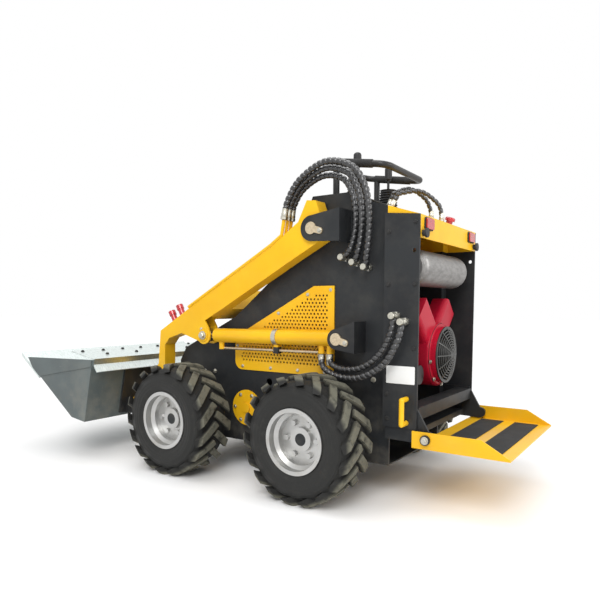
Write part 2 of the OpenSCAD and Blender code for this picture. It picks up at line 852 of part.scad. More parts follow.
// Brackets that hold the outer ends of the arm and cylinder pins
arm_bracket_r = 52;
arm_web_x = -440;
arm_web_low_z = 1035;
arm_web_top_z = 1165;
base_bracket_r = 42;
base_web_x = -512;
base_web_low_z = 590;
base_web_top_z = 716;

module pin_bracket(at, r, web_x, low_z, top_z, pin_d) {
    difference() {
        union() {
            bar_y(at, 2 * r, bracket_in, bracket_out);
            plate_xz([at + [0, r], at - [0, r], [web_x - bracket_t, low_z], [web_x - bracket_t, top_z]],
                bracket_in, bracket_out);
            block([web_x - bracket_t, plate_out, low_z], [web_x, bracket_out, top_z]);
        }
        bar_y(at, pin_d + pin_fit, bracket_in - over, bracket_out + over);
    }
}

module pivot_brackets(side) {
    on_side(side) {
        pin_bracket(arm_pivot, arm_bracket_r, arm_web_x, arm_web_low_z, arm_web_top_z, arm_pin_d);
        pin_bracket(lift_base, base_bracket_r, base_web_x, base_web_low_z, base_web_top_z, lift_pin_d);
    }
}

module pivot_brackets_left() {
    color(dark_steel) in_frame() pivot_brackets(1);
}

module pivot_brackets_right() {
    color(dark_steel) in_frame() pivot_brackets(-1);
}

// Pins of the arms and lift cylinders, each with a locking plate
lock_d = 50;
lock_t = 6;
lock_tail = 46;
lock_tail_d = 26;
lock_lean_shares = [-1, -0.3];

module locked_pin(at, d, tail) {
    bar_y(at, d, plate_in, bracket_out);
    bar_y(at, lock_d, bracket_out, bracket_out + lock_t);
    bar_y(at + tail, lock_tail_d, bracket_out, bracket_out + lock_t);
    plate_xz([at + lock_tail_d / 2 * unit(left_of(tail)), at - lock_tail_d / 2 * unit(left_of(tail)),
        at + tail - lock_tail_d / 2 * unit(left_of(tail)), at + tail + lock_tail_d / 2 * unit(left_of(tail))],
        bracket_out, bracket_out + lock_t);
}

module pivot_pins() {
    color(bright_steel) in_frame() both_sides() {
        locked_pin(arm_pivot, arm_pin_d, lock_tail * unit(lock_lean_shares));
        locked_pin(lift_base, lift_pin_d, lock_tail * unit(lock_lean_shares));
    }
}

// Hydraulic ports on the left side of the chassis
port_d = 30;
port_t = 14;
upper_ports = [[-434, 974], [-486, 952], [-538, 932]];
lower_ports = [[-690, 742], [-726, 720]];

module hose_ports() {
    color(bright_steel) in_frame() {
        for (at = upper_ports) bar_y(at, port_d, plate_out, plate_out + port_t);
        for (at = lower_ports) bar_y(at, port_d, panel_out, panel_out + port_t);
    }
}

// Hoses, each swept along its own route
hose_d = 26;
hose_sides = 8;
ring_start_shares = [0.31, 0.95, 0.07];

function hose_dir(pts, i) = unit(i == 0 ? pts[1] - pts[0]
    : i == len(pts) - 1 ? pts[i] - pts[i - 1]
    : unit(pts[i + 1] - pts[i]) + unit(pts[i] - pts[i - 1]));

// Carries the side vector of a ring on to the next ring
function hose_sides_at(pts, i) = i == 0
    ? unit(cross(hose_dir(pts, 0), ring_start_shares))
    : let (t = hose_dir(pts, i), s = hose_sides_at(pts, i - 1)) unit(s - t * (s * t));

// Points of a smooth curve through the route
function spline_point(a, b, c, d, t) = (2 * b + (c - a) * t + (2 * a - 5 * b + 4 * c - d) * t * t
    + (3 * b - a - 3 * c + d) * t * t * t) / 2;
route_steps = 3;
function smooth(pts) = let (n = len(pts)) concat(
    [for (i = [0 : n - 2]) for (k = [0 : route_steps - 1])
        spline_point(pts[max(i - 1, 0)], pts[i], pts[i + 1], pts[min(i + 2, n - 1)], k / route_steps)],
    [pts[n - 1]]);

// Round tube with flat sides along a list of points
module swept_tube(pts, d) {
    n = len(pts);
    ring = [for (i = [0 : n - 1]) let (t = hose_dir(pts, i), s = hose_sides_at(pts, i), u = cross(t, s))
        for (k = [0 : hose_sides - 1]) let (a = 360 * k / hose_sides)
            pts[i] + d / 2 * (cos(a) * s + sin(a) * u)];
    walls = [for (i = [0 : n - 2]) for (k = [0 : hose_sides - 1]) let (j = (k + 1) % hose_sides)
        [i * hose_sides + k, (i + 1) * hose_sides + k, (i + 1) * hose_sides + j, i * hose_sides + j]];
    first = [for (k = [0 : hose_sides - 1]) k];
    last = [for (k = [hose_sides - 1 : -1 : 0]) (n - 1) * hose_sides + k];
    polyhedron(ring, concat(walls, [first, last]));
}

// A hose runs straight out of its first fitting and straight into its last
module hose(route, d) {
    n = len(route);
    swept_tube(concat([route[0]], smooth([for (i = [1 : n - 2]) route[i]]), [route[n - 1]]), d);
}

// Pipe ends on the left arm, where the lift hoses start
pipe_d = 16;
pipe_line = beside([for (i = [2 : 5]) arm_pts[i]], pipe_d / 2 + seat);
pipe_ahead = 100;
pipe_foot = pipe_line[0] + pipe_ahead * unit(pipe_line[1] - pipe_line[0]);
pipe_ys = [292, 319, 346];
pipe_rise = [-12, 64];
pipe_top = pipe_foot + pipe_rise;
hose_start = pipe_top + seat * unit(pipe_rise);
hose_neck = hose_start + pipe_d * unit(pipe_rise);

lift_hose_routes = [
    [[hose_start[0], pipe_ys[0], hose_start[1]], [hose_neck[0], pipe_ys[0], hose_neck[1]],
        [-182, 292, 1206], [-232, 293, 1270], [-330, 295, 1312], [-424, 297, 1292], [-472, 299, 1226],
        [-486, 301, 1150], [-486, 303, 1080], [-470, 308, 1010], [-434, 302, 974], [-434, 284.5, 974]],
    [[hose_start[0], pipe_ys[1], hose_start[1]], [hose_neck[0], pipe_ys[1], hose_neck[1]],
        [-184, 319, 1212], [-240, 320, 1284], [-352, 322, 1334], [-458, 323, 1308], [-510, 324, 1236],
        [-526, 323, 1150], [-524, 321, 1060], [-508, 317, 990], [-486, 304, 952], [-486, 284.5, 952]],
    [[hose_start[0], pipe_ys[2], hose_start[1]], [hose_neck[0], pipe_ys[2], hose_neck[1]],
        [-186, 346, 1218], [-248, 347, 1298], [-372, 349, 1354], [-492, 350, 1324], [-552, 348, 1244],
        [-570, 343, 1140], [-566, 337, 1040], [-552, 327, 968], [-538, 304, 932], [-538, 284.5, 932]],
];
cylinder_hose_routes = [
    [[-379.5, 316, 579], [-379.5, 316, 562], [-400, 324, 536], [-470, 346, 524], [-560, 360, 540],
        [-640, 366, 600], [-684, 372, 680], [-690, 366, 742], [-690, 344.5, 742]],
    [[-339.5, 316, 577], [-339.5, 316, 558], [-362, 330, 520], [-450, 356, 494], [-560, 374, 502],
        [-660, 382, 560], [-716, 384, 650], [-726, 368, 720], [-726, 344.5, 720]],
];
console_hose_routes = [
    [[-470, -30, 1218.5], [-490, -40, 1280], [-550, -80, 1300], [-610, -120, 1255], [-630, -140, 1196],
        [-630, -140, 1168]],
    [[-500, 10, 1209], [-530, -10, 1270], [-610, -60, 1280], [-676, -98, 1226], [-690, -110, 1174],
        [-690, -110, 1149]],
];
console_hose_d = 20;

module lift_hoses() {
    color(rubber) in_frame() for (route = lift_hose_routes) hose(route, hose_d);
}

module cylinder_hoses() {
    color(rubber) in_frame() for (route = cylinder_hose_routes) hose(route, hose_d);
}

module console_hoses() {
    color(rubber) in_frame() for (route = console_hose_routes) hose(route, console_hose_d);
}

// Lift arms: boxes of plate, open round the knee for the lift rod's eye
arm_cavity_pts = inset(arm_pts, arm_t);

module arm(side) {
    on_side(side) difference() {
        union() {
            plate_xz(arm_pts, arm_in, arm_out);
            bar_y(arm_pivot, arm_boss_d, arm_in, arm_out);
            bar_y(hinge, hinge_boss_d, arm_in, arm_out);
            bar_y(knee, knee_boss_d, arm_in, arm_out);
            bar_y(knee, knee_cap_d, arm_out, arm_out + knee_cap_t / 2);
        }
        difference() {
            plate_xz(arm_cavity_pts, arm_in + arm_t, arm_out - arm_t);
            bar_y(arm_pivot, arm_boss_d, arm_in, arm_out);
            bar_y(hinge, hinge_boss_d, arm_in, arm_out);
        }
        bar_y(knee, 2 * knee_room_r, arm_in + arm_t, arm_out - arm_t);
        bar_y(arm_pivot, arm_pin_d + pin_fit, arm_in - over, arm_out + over);
        bar_y(hinge, hinge_pin_d + pin_fit, arm_in - over, arm_out + over);
    }
}

module arm_left() {
    color(paint) in_frame() arm(1);
}

module arm_right() {
    color(paint) in_frame() arm(-1);
}

// Cross box between the arms, with the lugs of the tilt cylinder
tilt_eye_w = 44;
tilt_lug_gap = 5;
tilt_lug_t = 12;
tilt_lug_d = 66;
tilt_web_h = 58;
tilt_pin_end = 6;
tilt_lug_in = tilt_eye_w / 2 + tilt_lug_gap;
tilt_lug_out = tilt_lug_in + tilt_lug_t;

module arm_cross_box() {
    color(paint) in_frame() {
        translate([cross_mid[0], 0, cross_mid[1]]) rotate([0, -arm_slope, 0]) difference() {
            cube([cross_box, 2 * arm_in, cross_box], center = true);
            cube([cross_box - 2 * arm_t, 2 * arm_in + over, cross_box - 2 * arm_t], center = true);
        }
        both_sides() translate([cross_mid[0], tilt_lug_out, cross_mid[1]]) rotate([90, -arm_slope, 0])
            linear_extrude(tilt_lug_t) {
                translate([tilt_base_ahead, 0]) circle(d = tilt_lug_d);
                translate([cross_box / 2 - over, -tilt_web_h / 2])
                    square([tilt_base_ahead - cross_box / 2 + over, tilt_web_h]);
            }
        bar_y(tilt_base, tilt_pin_d, -tilt_lug_out - tilt_pin_end, tilt_lug_out + tilt_pin_end);
    }
}

// Steel pipes along the top of the left arm
module arm_pipes() {
    color(paint) in_frame() for (y = pipe_ys) swept_tube(concat(
        [[pipe_top[0], y, pipe_top[1]], [pipe_foot[0], y, pipe_foot[1]]],
        [for (i = [1 : len(pipe_line) - 1]) [pipe_line[i][0], y, pipe_line[i][1]]]), pipe_d);
}

// Quick couplers on the nose of the left arm
coupler_d = 30;
coupler_l = 62;
coupler_shares = [0.35, 0.62];
coupler_cap_d = 36;
coupler_cap_l = 22;

module couplers() {
    edge = arm_pts[6] - arm_pts[5];
    up = unit(left_of(edge));
    color("red") in_frame() for (s = coupler_shares) {
        foot = arm_pts[5] + s * edge;
        a = [foot[0], arm_mid, foot[1]];
        n = [up[0], 0, up[1]];
        bar(a, a + coupler_l * n, coupler_d);
        bar(a + (coupler_l - coupler_cap_l) * n, a + coupler_l * n, coupler_cap_d);
    }
}

// Cylinders, drawn from the base pin along the line to the rod's pin
lift_eye_d = 70;
lift_eye_w = 56;
lift_rod_eye_w = 40;
rod_wall = 6;
gland_l = 40;
base_cap = 34;
rod_eye_d = 64;
piston_l = 40;
lift_l = norm(knee - lift_base);
lift_angle = atan2(knee[1] - lift_base[1], knee[0] - lift_base[0]);
tilt_l = norm(tilt_pin - tilt_base);
tilt_angle = atan2(tilt_pin[1] - tilt_base[1], tilt_pin[0] - tilt_base[0]);
rod_show = 56;

// Local frame of a cylinder: X runs from the base pin to the rod's pin
module along(at, y, angle) {
    translate([at[0], y, at[1]]) rotate([0, -angle, 0]) children();
}

module barrel_shape(d, length, eye_d, eye_w, rod_d, pin_d) {
    bore = d - 2 * rod_wall;
    difference() {
        union() {
            bar_x([0, 0], d, base_cap, length - rod_show);
            bar_y([0, 0], eye_d, -eye_w / 2, eye_w / 2);
            block([0, -eye_w / 2, -d / 2 + rod_wall], [base_cap + over, eye_w / 2, d / 2 - rod_wall]);
        }
        bar_y([0, 0], pin_d + pin_fit, -eye_w / 2 - over, eye_w / 2 + over);
        bar_x([0, 0], bore, base_cap + rod_wall, length - rod_show - gland_l);
        bar_x([0, 0], rod_d + pin_fit, base_cap + rod_wall, length - rod_show + over);
    }
}

module rod_shape(d, length, barrel_d, eye_w, pin_d) {
    bore = barrel_d - 2 * rod_wall;
    difference() {
        union() {
            bar_x([0, 0], d, base_cap + 2 * rod_wall, length);
            bar_x([0, 0], bore - pin_fit, base_cap + 2 * rod_wall, base_cap + 2 * rod_wall + piston_l);
            bar_y([length, 0], rod_eye_d, -eye_w / 2, eye_w / 2);
        }
        bar_y([length, 0], pin_d + pin_fit, -eye_w / 2 - over, eye_w / 2 + over);
    }
}

// Ports below a lift barrel, joined by a pipe that a band clamp holds
barrel_port_d = 26;
barrel_port_drop = 64;
rear_port_at = 60;
rear_port_step = 40;
front_port_back = 86;
barrel_pipe_d = 12;
band_at_share = 0.43;
band_w = 22;
band_t = 2;
pipe_clear = 14;

module barrel_plumbing() {
    pipe_z = -lift_barrel_d / 2 - pipe_clear;
    front_x = lift_l - front_port_back;
    band_x = band_at_share * lift_l;
    for (x = [rear_port_at, rear_port_at + rear_port_step, front_x])
        bar([x, 0, 0], [x, 0, -barrel_port_drop], barrel_port_d);
    bar_x([0, pipe_z - barrel_pipe_d], barrel_pipe_d, rear_port_at + rear_port_step, front_x);
    difference() {
        block([band_x, -barrel_pipe_d, pipe_z - 2 * barrel_pipe_d], [band_x + band_w, barrel_pipe_d, 0]);
        bar_x([0, 0], lift_barrel_d - band_t, band_x - over, band_x + band_w + over);
    }
    difference() {
        bar_x([0, 0], lift_barrel_d + 2 * band_t, band_x, band_x + band_w);
        bar_x([0, 0], lift_barrel_d - band_t, band_x - over, band_x + band_w + over);
    }
}

module lift_barrel(side) {
    on_side(side) along(lift_base, arm_mid, lift_angle) difference() {
        union() {
            barrel_shape(lift_barrel_d, lift_l, lift_eye_d, lift_eye_w, lift_rod_d, lift_pin_d);
            barrel_plumbing();
        }
        bar_x([0, 0], lift_barrel_d - 2 * rod_wall, base_cap + rod_wall, lift_l - rod_show - gland_l);
        bar_x([0, 0], lift_rod_d + pin_fit, base_cap + rod_wall, lift_l);
    }
}

module lift_barrel_left() {
    color(paint) in_frame() lift_barrel(1);
}

module lift_barrel_right() {
    color(paint) in_frame() lift_barrel(-1);
}

module lift_rod(side) {
    on_side(side) along(lift_base, arm_mid, lift_angle)
        rod_shape(lift_rod_d, lift_l, lift_barrel_d, lift_rod_eye_w, knee_pin_d);
}

module lift_rod_left() {
    color(bright_steel) in_frame() lift_rod(1);
}

module lift_rod_right() {
    color(bright_steel) in_frame() lift_rod(-1);
}

module tilt_barrel() {
    color(paint) in_frame() along(tilt_base, 0, tilt_angle)
        barrel_shape(tilt_barrel_d, tilt_l, lift_eye_d - rod_wall, tilt_eye_w, tilt_rod_d, tilt_pin_d);
}

module tilt_rod() {
    color(bright_steel) in_frame() along(tilt_base, 0, tilt_angle)
        rod_shape(tilt_rod_d, tilt_l, tilt_barrel_d, tilt_eye_w, tilt_pin_d);
}

// Attach plate behind the bucket, with the hinge and tilt lugs
attach_t = 12;
attach_half_w = 400;
attach_rise = 214;
attach_fall = 40;
hinge_lug_gap = 4;
hinge_lug_t = 10;
hinge_lug_r = 30;
tilt_eye_room = 8;
tilt_ear_in = tilt_eye_w / 2 + tilt_eye_room;
tilt_ear_t = 12;
tilt_ear_r = 34;
back_up = [-sin(back_lean), cos(back_lean)];
back_out = [-cos(back_lean), -sin(back_lean)];
attach_face = hinge - hinge_stand * back_out;
lug_root = attach_t - over;
lug_spread_share = 1.5;

// A lug from the attach plate out to a pin
module attach_lug(at, r, y_low, y_high) {
    along_back = (at - hinge) * back_up;
    root = attach_face + along_back * back_up + lug_root * back_out;
    bar_y(at, 2 * r, y_low, y_high);
    plate_xz([root - lug_spread_share * r * back_up, root + lug_spread_share * r * back_up, at + r * back_up,
        at - r * back_up], y_low, y_high);
}

module attach_plate() {
    color(dark_steel) in_frame() {
        low = attach_face - attach_fall * back_up;
        high = attach_face + attach_rise * back_up;
        plate_xz([low, high, high + attach_t * back_out, low + attach_t * back_out],
            -attach_half_w, attach_half_w);
        both_sides() {
            attach_lug(hinge, hinge_lug_r, arm_in - hinge_lug_gap - hinge_lug_t, arm_in - hinge_lug_gap);
            attach_lug(hinge, hinge_lug_r, arm_out + hinge_lug_gap, arm_out + hinge_lug_gap + hinge_lug_t);
            bar_y(hinge, hinge_pin_d, arm_in - hinge_lug_gap - hinge_lug_t,
                arm_out + hinge_lug_gap + hinge_lug_t);
            attach_lug(tilt_pin, tilt_ear_r, tilt_ear_in, tilt_ear_in + tilt_ear_t);
        }
    }
}

// Bucket: folded sheet between two side plates with stiffened upper halves
seam_shares = [[-0.003, 0.892], [0.7273, 0.6456]];
side_strip_t = 5;
lip_room = 3;

module bucket_shell() {
    shell = concat([bucket_pts[0] - lip_room * back_up], [for (i = [1 : 3]) bucket_pts[i]]);
    seam = [for (s = seam_shares) bucket_foot + [max(s[0], 0) * bucket_depth, s[1] * bucket_h]];
    half = bucket_w / 2;
    color("slategray") in_frame() {
        plate_xz(sheet_outline(shell, bucket_t), -half + bucket_t, half - bucket_t);
        both_sides() {
            plate_xz(bucket_pts, half - bucket_t, half);
            plate_xz([bucket_pts[0],
                seam[0] + [bucket_h * back_lean_share * (1 - seam_shares[0][1]), 0], seam[1],
                bucket_pts[3], bucket_pts[4]], half, half + side_strip_t);
        }
    }
}

// Bolted lip along the bucket's top: a flange behind and a plate leaning inwards
lip_t = 6;
lip_depth = 180;
lip_lift = 30;
lip_lap = 26;
lip_flare = [-28, -36];

module bucket_lip() {
    half = bucket_w / 2 - bucket_t;
    top = bucket_pts[0] + seat * back_out;
    fold = top - lip_lap * back_up;
    color(bright_steel) in_frame()
        plate_xz(sheet_outline([top + [lip_depth, lip_lift], top, fold, fold + lip_flare], -lip_t),
            -half, half);
}

// Cutting edge along the front of the floor
edge_t = 16;
edge_over = 70;

module cutting_edge() {
    half = bucket_w / 2;
    floor_dir = unit(bucket_pts[3] - bucket_pts[2]);
    down = -left_of(floor_dir);
    front = bucket_pts[3] + floor_dir * ((bucket_tip_x - bucket_pts[3][0]) / floor_dir[0]);
    rear = bucket_pts[3] - edge_over * floor_dir;
    color(bright_steel) in_frame() plate_xz([rear + seat * down, front + seat * down,
        front - edge_t * floor_dir + edge_t * down, rear + edge_t * down], -half, half);
}

// Folding platform
platform_front_x = -768;
flange_top_share = 0.78;
flange_h = 64;
flange_slope_l = 104;
flange_nose_x = -764;
pad_t = 3;
pad_l = 100;
pad_w = 620;
pad_xs = [-930, -1080];

module platform_tray() {
    low = platform_floor_z;
    color(paint) in_frame() {
        block([-platform_rear, -platform_w / 2, low], [platform_front_x, platform_w / 2, low + platform_t]);
        both_sides() difference() {
            plate_xz([[-platform_rear, low], [flange_nose_x, low], [flange_nose_x, low + flange_h],
                [-platform_rear + flange_slope_l, low + flange_h], [-platform_rear, low + platform_t]],
                flange_in, platform_w / 2);
            bar_y(platform_hinge, platform_pin_d + pin_fit, flange_in - over, platform_w / 2 + over);
        }
    }
}

module platform_pads() {
    low = platform_floor_z + platform_t;
    color(rubber) in_frame() for (x = pad_xs)
        block([x, -pad_w / 2, low], [x + pad_l, pad_w / 2, low + pad_t]);
}

// Wheels, drawn about the Z axis with the outer side upwards
flange_lip = 5;
bead_drop = 11;
well_drop = 26;
bead_w = 30;
well_slope = 12;
rim_t = 5;
disc_at = 14;
disc_t = 10;
hub_d = 96;
nut_circle_d = 142;
nut_d = 24;
nut_h = 14;
carcass_w_share = 0.94;
sidewall_shares = [[0.05, 0.84], [0.28, 0.98], [0.55, 1], [0.84, 0.90], [0.96, 0.72], [1, 0.40]];

module rim_shape() {
    r = rim_d / 2;
    half = rim_w / 2;
    outer = [[r, half], [r, half - flange_lip], [r - bead_drop, half - flange_lip],
        [r - bead_drop, half - bead_w], [r - well_drop, half - bead_w - well_slope]];
    barrel = concat(outer, [for (i = [len(outer) - 1 : -1 : 0]) [outer[i][0], -outer[i][1]]]);
    inner = concat([[r - bead_drop - rim_t, -half], [r - bead_drop - rim_t, -half + bead_w],
        [r - well_drop - rim_t, -half + bead_w + well_slope]],
        [[r - well_drop - rim_t, half - bead_w - well_slope], [r - bead_drop - rim_t, half - bead_w],
        [r - bead_drop - rim_t, half]]);
    difference() {
        union() {
            rotate_extrude() polygon(concat(barrel, inner));
            translate([0, 0, disc_at]) cylinder(r = r - well_drop - rim_t + over, h = disc_t);
            translate([0, 0, -hub_in]) cylinder(d = hub_d, h = hub_in + hub_out);
            for (i = [0 : nut_count - 1]) rotate([0, 0, i * 360 / nut_count])
                translate([nut_circle_d / 2, 0, disc_at + disc_t]) cylinder(d = nut_d, h = nut_h, $fn = 6);
        }
        translate([0, 0, -hub_in - over]) cylinder(d = spindle_d + pin_fit, h = hub_in + hub_out + 2 * over);
    }
}

module tyre_shape() {
    bead_r = rim_d / 2 - bead_drop + seat;
    crown_r = tyre_d / 2 - lug_h;
    half = tyre_w * carcass_w_share / 2;
    bead_half = rim_w / 2 - flange_lip - seat;
    rise = crown_r - bead_r;
    wall = [for (s = sidewall_shares) [bead_r + s[0] * rise, s[1] * half]];
    side = concat([[bead_r, bead_half], [rim_d / 2 + seat, bead_half]],
        [for (i = [1 : len(wall) - 1]) wall[i]]);
    rotate_extrude() polygon(concat(side, [for (i = [len(side) - 1 : -1 : 0]) [side[i][0], -side[i][1]]]));
    intersection() {
        lug_ring(crown_r, half);
        for (turn = [0 : lug_count - 1]) for (up = [1, -1])
            rotate([0, 0, (turn + (up > 0 ? 0 : stagger_share)) * 360 / lug_count]) lug_bar(up);
    }
}

stagger_share = 0.5;
lug_root_share = 0.86;
lug_shoulder_share = 0.80;
lug_foot_share = 0.88;

// Envelope of the lugs: flat across the crown and down over the shoulders
module lug_ring(crown_r, half) {
    tip = tyre_d / 2;
    root = crown_r * lug_root_share;
    edge = tyre_w / 2;
    rotate_extrude() polygon([[root, -edge * lug_foot_share], [tip * lug_shoulder_share + lug_h, -edge],
        [tip, -edge * lug_shoulder_share], [tip, edge * lug_shoulder_share],
        [tip * lug_shoulder_share + lug_h, edge], [root, edge * lug_foot_share]]);
}

// One lug, from just past the middle of the tread to the shoulder
module lug_bar(up) {
    tip = tyre_d / 2;
    length = tyre_w / 2 / cos(lug_skew);
    translate([tip - 2 * lug_h, 0, 0]) rotate([up * lug_skew, 0, 0])
        translate([0, -lug_w / 2, up > 0 ? 0 : -length]) cube([2 * lug_h, lug_w, length]);
}

// Puts a wheel at its axle: end 1 front, -1 rear; side 1 left, -1 right
module at_axle(end, side) {
    on_side(side) translate([end * axle_x, wheel_y, axle_z]) rotate([-90, 0, 0]) children();
}

module rim_front_left() {
    color(bright_steel) in_frame() at_axle(1, 1) rim_shape();
}

module rim_front_right() {
    color(bright_steel) in_frame() at_axle(1, -1) rim_shape();
}

module rim_rear_left() {
    color(bright_steel) in_frame() at_axle(-1, 1) rim_shape();
}

module rim_rear_right() {
    color(bright_steel) in_frame() at_axle(-1, -1) rim_shape();
}

module tyre_front_left() {
    color(rubber) in_frame() at_axle(1, 1) tyre_shape();
}

module tyre_front_right() {
    color(rubber) in_frame() at_axle(1, -1) tyre_shape();
}

module tyre_rear_left() {
    color(rubber) in_frame() at_axle(-1, 1) tyre_shape();
}

module tyre_rear_right() {
    color(rubber) in_frame() at_axle(-1, -1) tyre_shape();
}

side_plate_left();
side_plate_right();
belly_tub();
hood();
side_grille_left();
side_grille_right();
chain_covers();
rear_panel_left();
rear_panel_right();
console();
tail_lamps();
bump_stops();
engine_deck();
engine_block();
engine_shroud();
fan_guard();
muffler();
air_cleaner();
hand_rail();
joysticks();
stop_button();
cross_beam();
rear_step();
platform_brackets();
tie_down_loops();
axle_housings();
pivot_brackets_left();
pivot_brackets_right();
pivot_pins();
hose_ports();
lift_hoses();
cylinder_hoses();
console_hoses();
arm_left();
arm_right();
arm_cross_box();
arm_pipes();
couplers();
lift_barrel_left();
lift_barrel_right();
lift_rod_left();
lift_rod_right();
tilt_barrel();
tilt_rod();
attach_plate();
bucket_shell();
bucket_lip();
cutting_edge();
platform_tray();
platform_pads();
rim_front_left();
rim_front_right();
rim_rear_left();
rim_rear_right();
tyre_front_left();
tyre_front_right();
tyre_rear_left();
tyre_rear_right();
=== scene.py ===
# %% [markdown]
# This lesson dresses a compact stand-on skid steer loader. Its solids come from the packed
# frame, already in place and in metres. Blender gives them their finishes and adds what is too
# small for the solids: wrapped hoses with crimped ends, bolts, the bands and pipes of the lift
# cylinders, foam sleeves, bellows, lamp bezels, a bare sign plate and road dust. Everything rides
# on the body that carries it, so the lift arm, the bucket, the platform and the wheels can still
# move.

# %% Load the frame
import json
import math

import bpy
import numpy as np
from mathutils import Matrix, Vector


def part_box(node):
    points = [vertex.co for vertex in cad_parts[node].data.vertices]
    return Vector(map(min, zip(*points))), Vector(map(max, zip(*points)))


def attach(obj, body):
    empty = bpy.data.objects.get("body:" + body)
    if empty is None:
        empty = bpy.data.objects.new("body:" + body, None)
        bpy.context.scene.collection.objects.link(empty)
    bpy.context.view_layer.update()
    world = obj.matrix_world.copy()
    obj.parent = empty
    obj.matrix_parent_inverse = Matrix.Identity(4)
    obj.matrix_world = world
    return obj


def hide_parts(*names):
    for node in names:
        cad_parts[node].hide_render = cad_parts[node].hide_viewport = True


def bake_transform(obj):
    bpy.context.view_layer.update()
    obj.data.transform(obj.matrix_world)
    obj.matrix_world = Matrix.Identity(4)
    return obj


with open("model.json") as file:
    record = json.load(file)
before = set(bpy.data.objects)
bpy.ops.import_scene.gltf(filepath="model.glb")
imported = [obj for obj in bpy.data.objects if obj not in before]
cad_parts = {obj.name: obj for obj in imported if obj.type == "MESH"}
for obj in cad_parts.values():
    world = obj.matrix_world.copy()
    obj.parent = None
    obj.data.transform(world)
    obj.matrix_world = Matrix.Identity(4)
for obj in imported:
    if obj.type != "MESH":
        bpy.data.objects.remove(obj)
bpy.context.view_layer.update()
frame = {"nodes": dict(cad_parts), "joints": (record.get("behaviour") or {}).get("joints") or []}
nodes = frame["nodes"]
joints = {joint["name"]: joint for joint in frame["joints"]}

# %% [markdown]
# The camera comes first, because every later choice is judged through it. It stands behind the
# machine on its left, at about hip height, and looks slightly down. The direction is written as
# three angles and turned into the three axes of a camera: right, up and backwards.

# %% Camera
CAMERA_AT = Vector((-1.7519, 2.2838, 0.7793))
CAMERA_YAW = math.radians(-56.616)
CAMERA_PITCH = math.radians(-4.181)
CAMERA_ROLL = math.radians(0.2225)
SENSOR_MM = 36.0
LENS_MM = 33.6
CAMERA_SHIFT = (-0.0224, 0.0773)

look = Vector((
    math.cos(CAMERA_YAW) * math.cos(CAMERA_PITCH),
    math.sin(CAMERA_YAW) * math.cos(CAMERA_PITCH),
    math.sin(CAMERA_PITCH),
))
level = Vector((math.sin(CAMERA_YAW), -math.cos(CAMERA_YAW), 0))
upright = level.cross(look)
right = math.cos(CAMERA_ROLL) * level + math.sin(CAMERA_ROLL) * upright
up = math.cos(CAMERA_ROLL) * upright - math.sin(CAMERA_ROLL) * level

camera = bpy.data.objects.new("camera", bpy.data.cameras.new("camera"))
camera.data.sensor_width = SENSOR_MM
camera.data.lens = LENS_MM
camera.data.shift_x, camera.data.shift_y = CAMERA_SHIFT
camera_turn = Matrix((right, up, -look)).transposed().to_4x4()
camera.matrix_world = Matrix.Translation(CAMERA_AT) @ camera_turn
bpy.context.scene.collection.objects.link(camera)
bpy.context.scene.camera = camera

# %% [markdown]
# A shader is a sum of small nodes, and wiring them one by one hides the idea. Here a wire stands
# for a value that changes over a surface, and Python's operators on wires add Math nodes, so a
# mask reads as the formula it is. Any other node comes from one method, which sets the node's
# own settings first and then its sockets.

# %% Wires and finishes
class Wire:
    """A shader value. Arithmetic on it adds a Math node to its finish."""

    def __init__(self, finish, socket):
        self.finish, self.socket = finish, socket

    def math(self, operation, other):
        return self.finish.node("ShaderNodeMath", {"operation": operation}, {0: self, 1: other})

    def __add__(self, other):
        return self.math("ADD", other)

    def __sub__(self, other):
        return self.math("SUBTRACT", other)

    def __rsub__(self, other):
        return self.finish.node("ShaderNodeMath", {"operation": "SUBTRACT"}, {0: other, 1: self})

    def __mul__(self, other):
        return self.math("MULTIPLY", other)

    def __pow__(self, other):
        return self.math("POWER", other)

    def band(self, low, high):
        """0 below low, 1 above high, and a smooth step between."""
        settings = {"interpolation_type": "SMOOTHSTEP"}
        return self.finish.node("ShaderNodeMapRange", settings, {"Value": self, 1: low, 2: high})


class Finish:
    """One material: its shader, and helpers that add nodes to its tree."""

    def __init__(self, name, **sockets):
        self.material = bpy.data.materials.new(name)
        self.material.use_nodes = True
        self.tree = self.material.node_tree
        self.shader = self.tree.nodes["Principled BSDF"]
        self.place = self.node("ShaderNodeTexCoord", {}, {}, "Object")
        self.set(**sockets)

    def plug(self, socket, value):
        if isinstance(value, Wire):
            self.tree.links.new(value.socket, socket)
        else:
            socket.default_value = value

    def node(self, kind, settings, sockets, out=0):
        """Adds a node, applies its settings, fills its sockets and returns one output."""
        made = self.tree.nodes.new(kind)
        for key, value in settings.items():
            setattr(made, key, value)
        for key, value in sockets.items():
            self.plug(made.inputs[key], value)
        return Wire(self, made.outputs[out])

    def set(self, **sockets):
        for key, value in sockets.items():
            name = key.replace("_", " ").title().replace("Ior", "IOR")
            self.plug(self.shader.inputs[name], value)
        return self

    def noise(self, scale, detail=4.0, rough=0.55, where=None):
        sockets = {"Vector": where or self.place, "Scale": scale}
        sockets.update({"Detail": detail, "Roughness": rough})
        return self.node("ShaderNodeTexNoise", {}, sockets)

    def stretched(self, scale):
        return self.node("ShaderNodeMapping", {}, {"Vector": self.place, "Scale": scale})

    def axis(self, name):
        return self.node("ShaderNodeSeparateXYZ", {}, {0: self.place}, name)

    def mix(self, share, first, second):
        """A colour that goes from first to second as share goes from 0 to 1."""
        return self.node("ShaderNodeMix", {"data_type": "RGBA"}, {0: share, 6: first, 7: second}, 2)

    def bump(self, height, strength, distance=0.001):
        sockets = {"Height": height, "Strength": strength, "Distance": distance}
        return self.set(normal=self.node("ShaderNodeBump", {}, sockets))


DUST = (0.36, 0.32, 0.25, 1)
KNEE_HIGH, GROUND = 0.52, 0.05


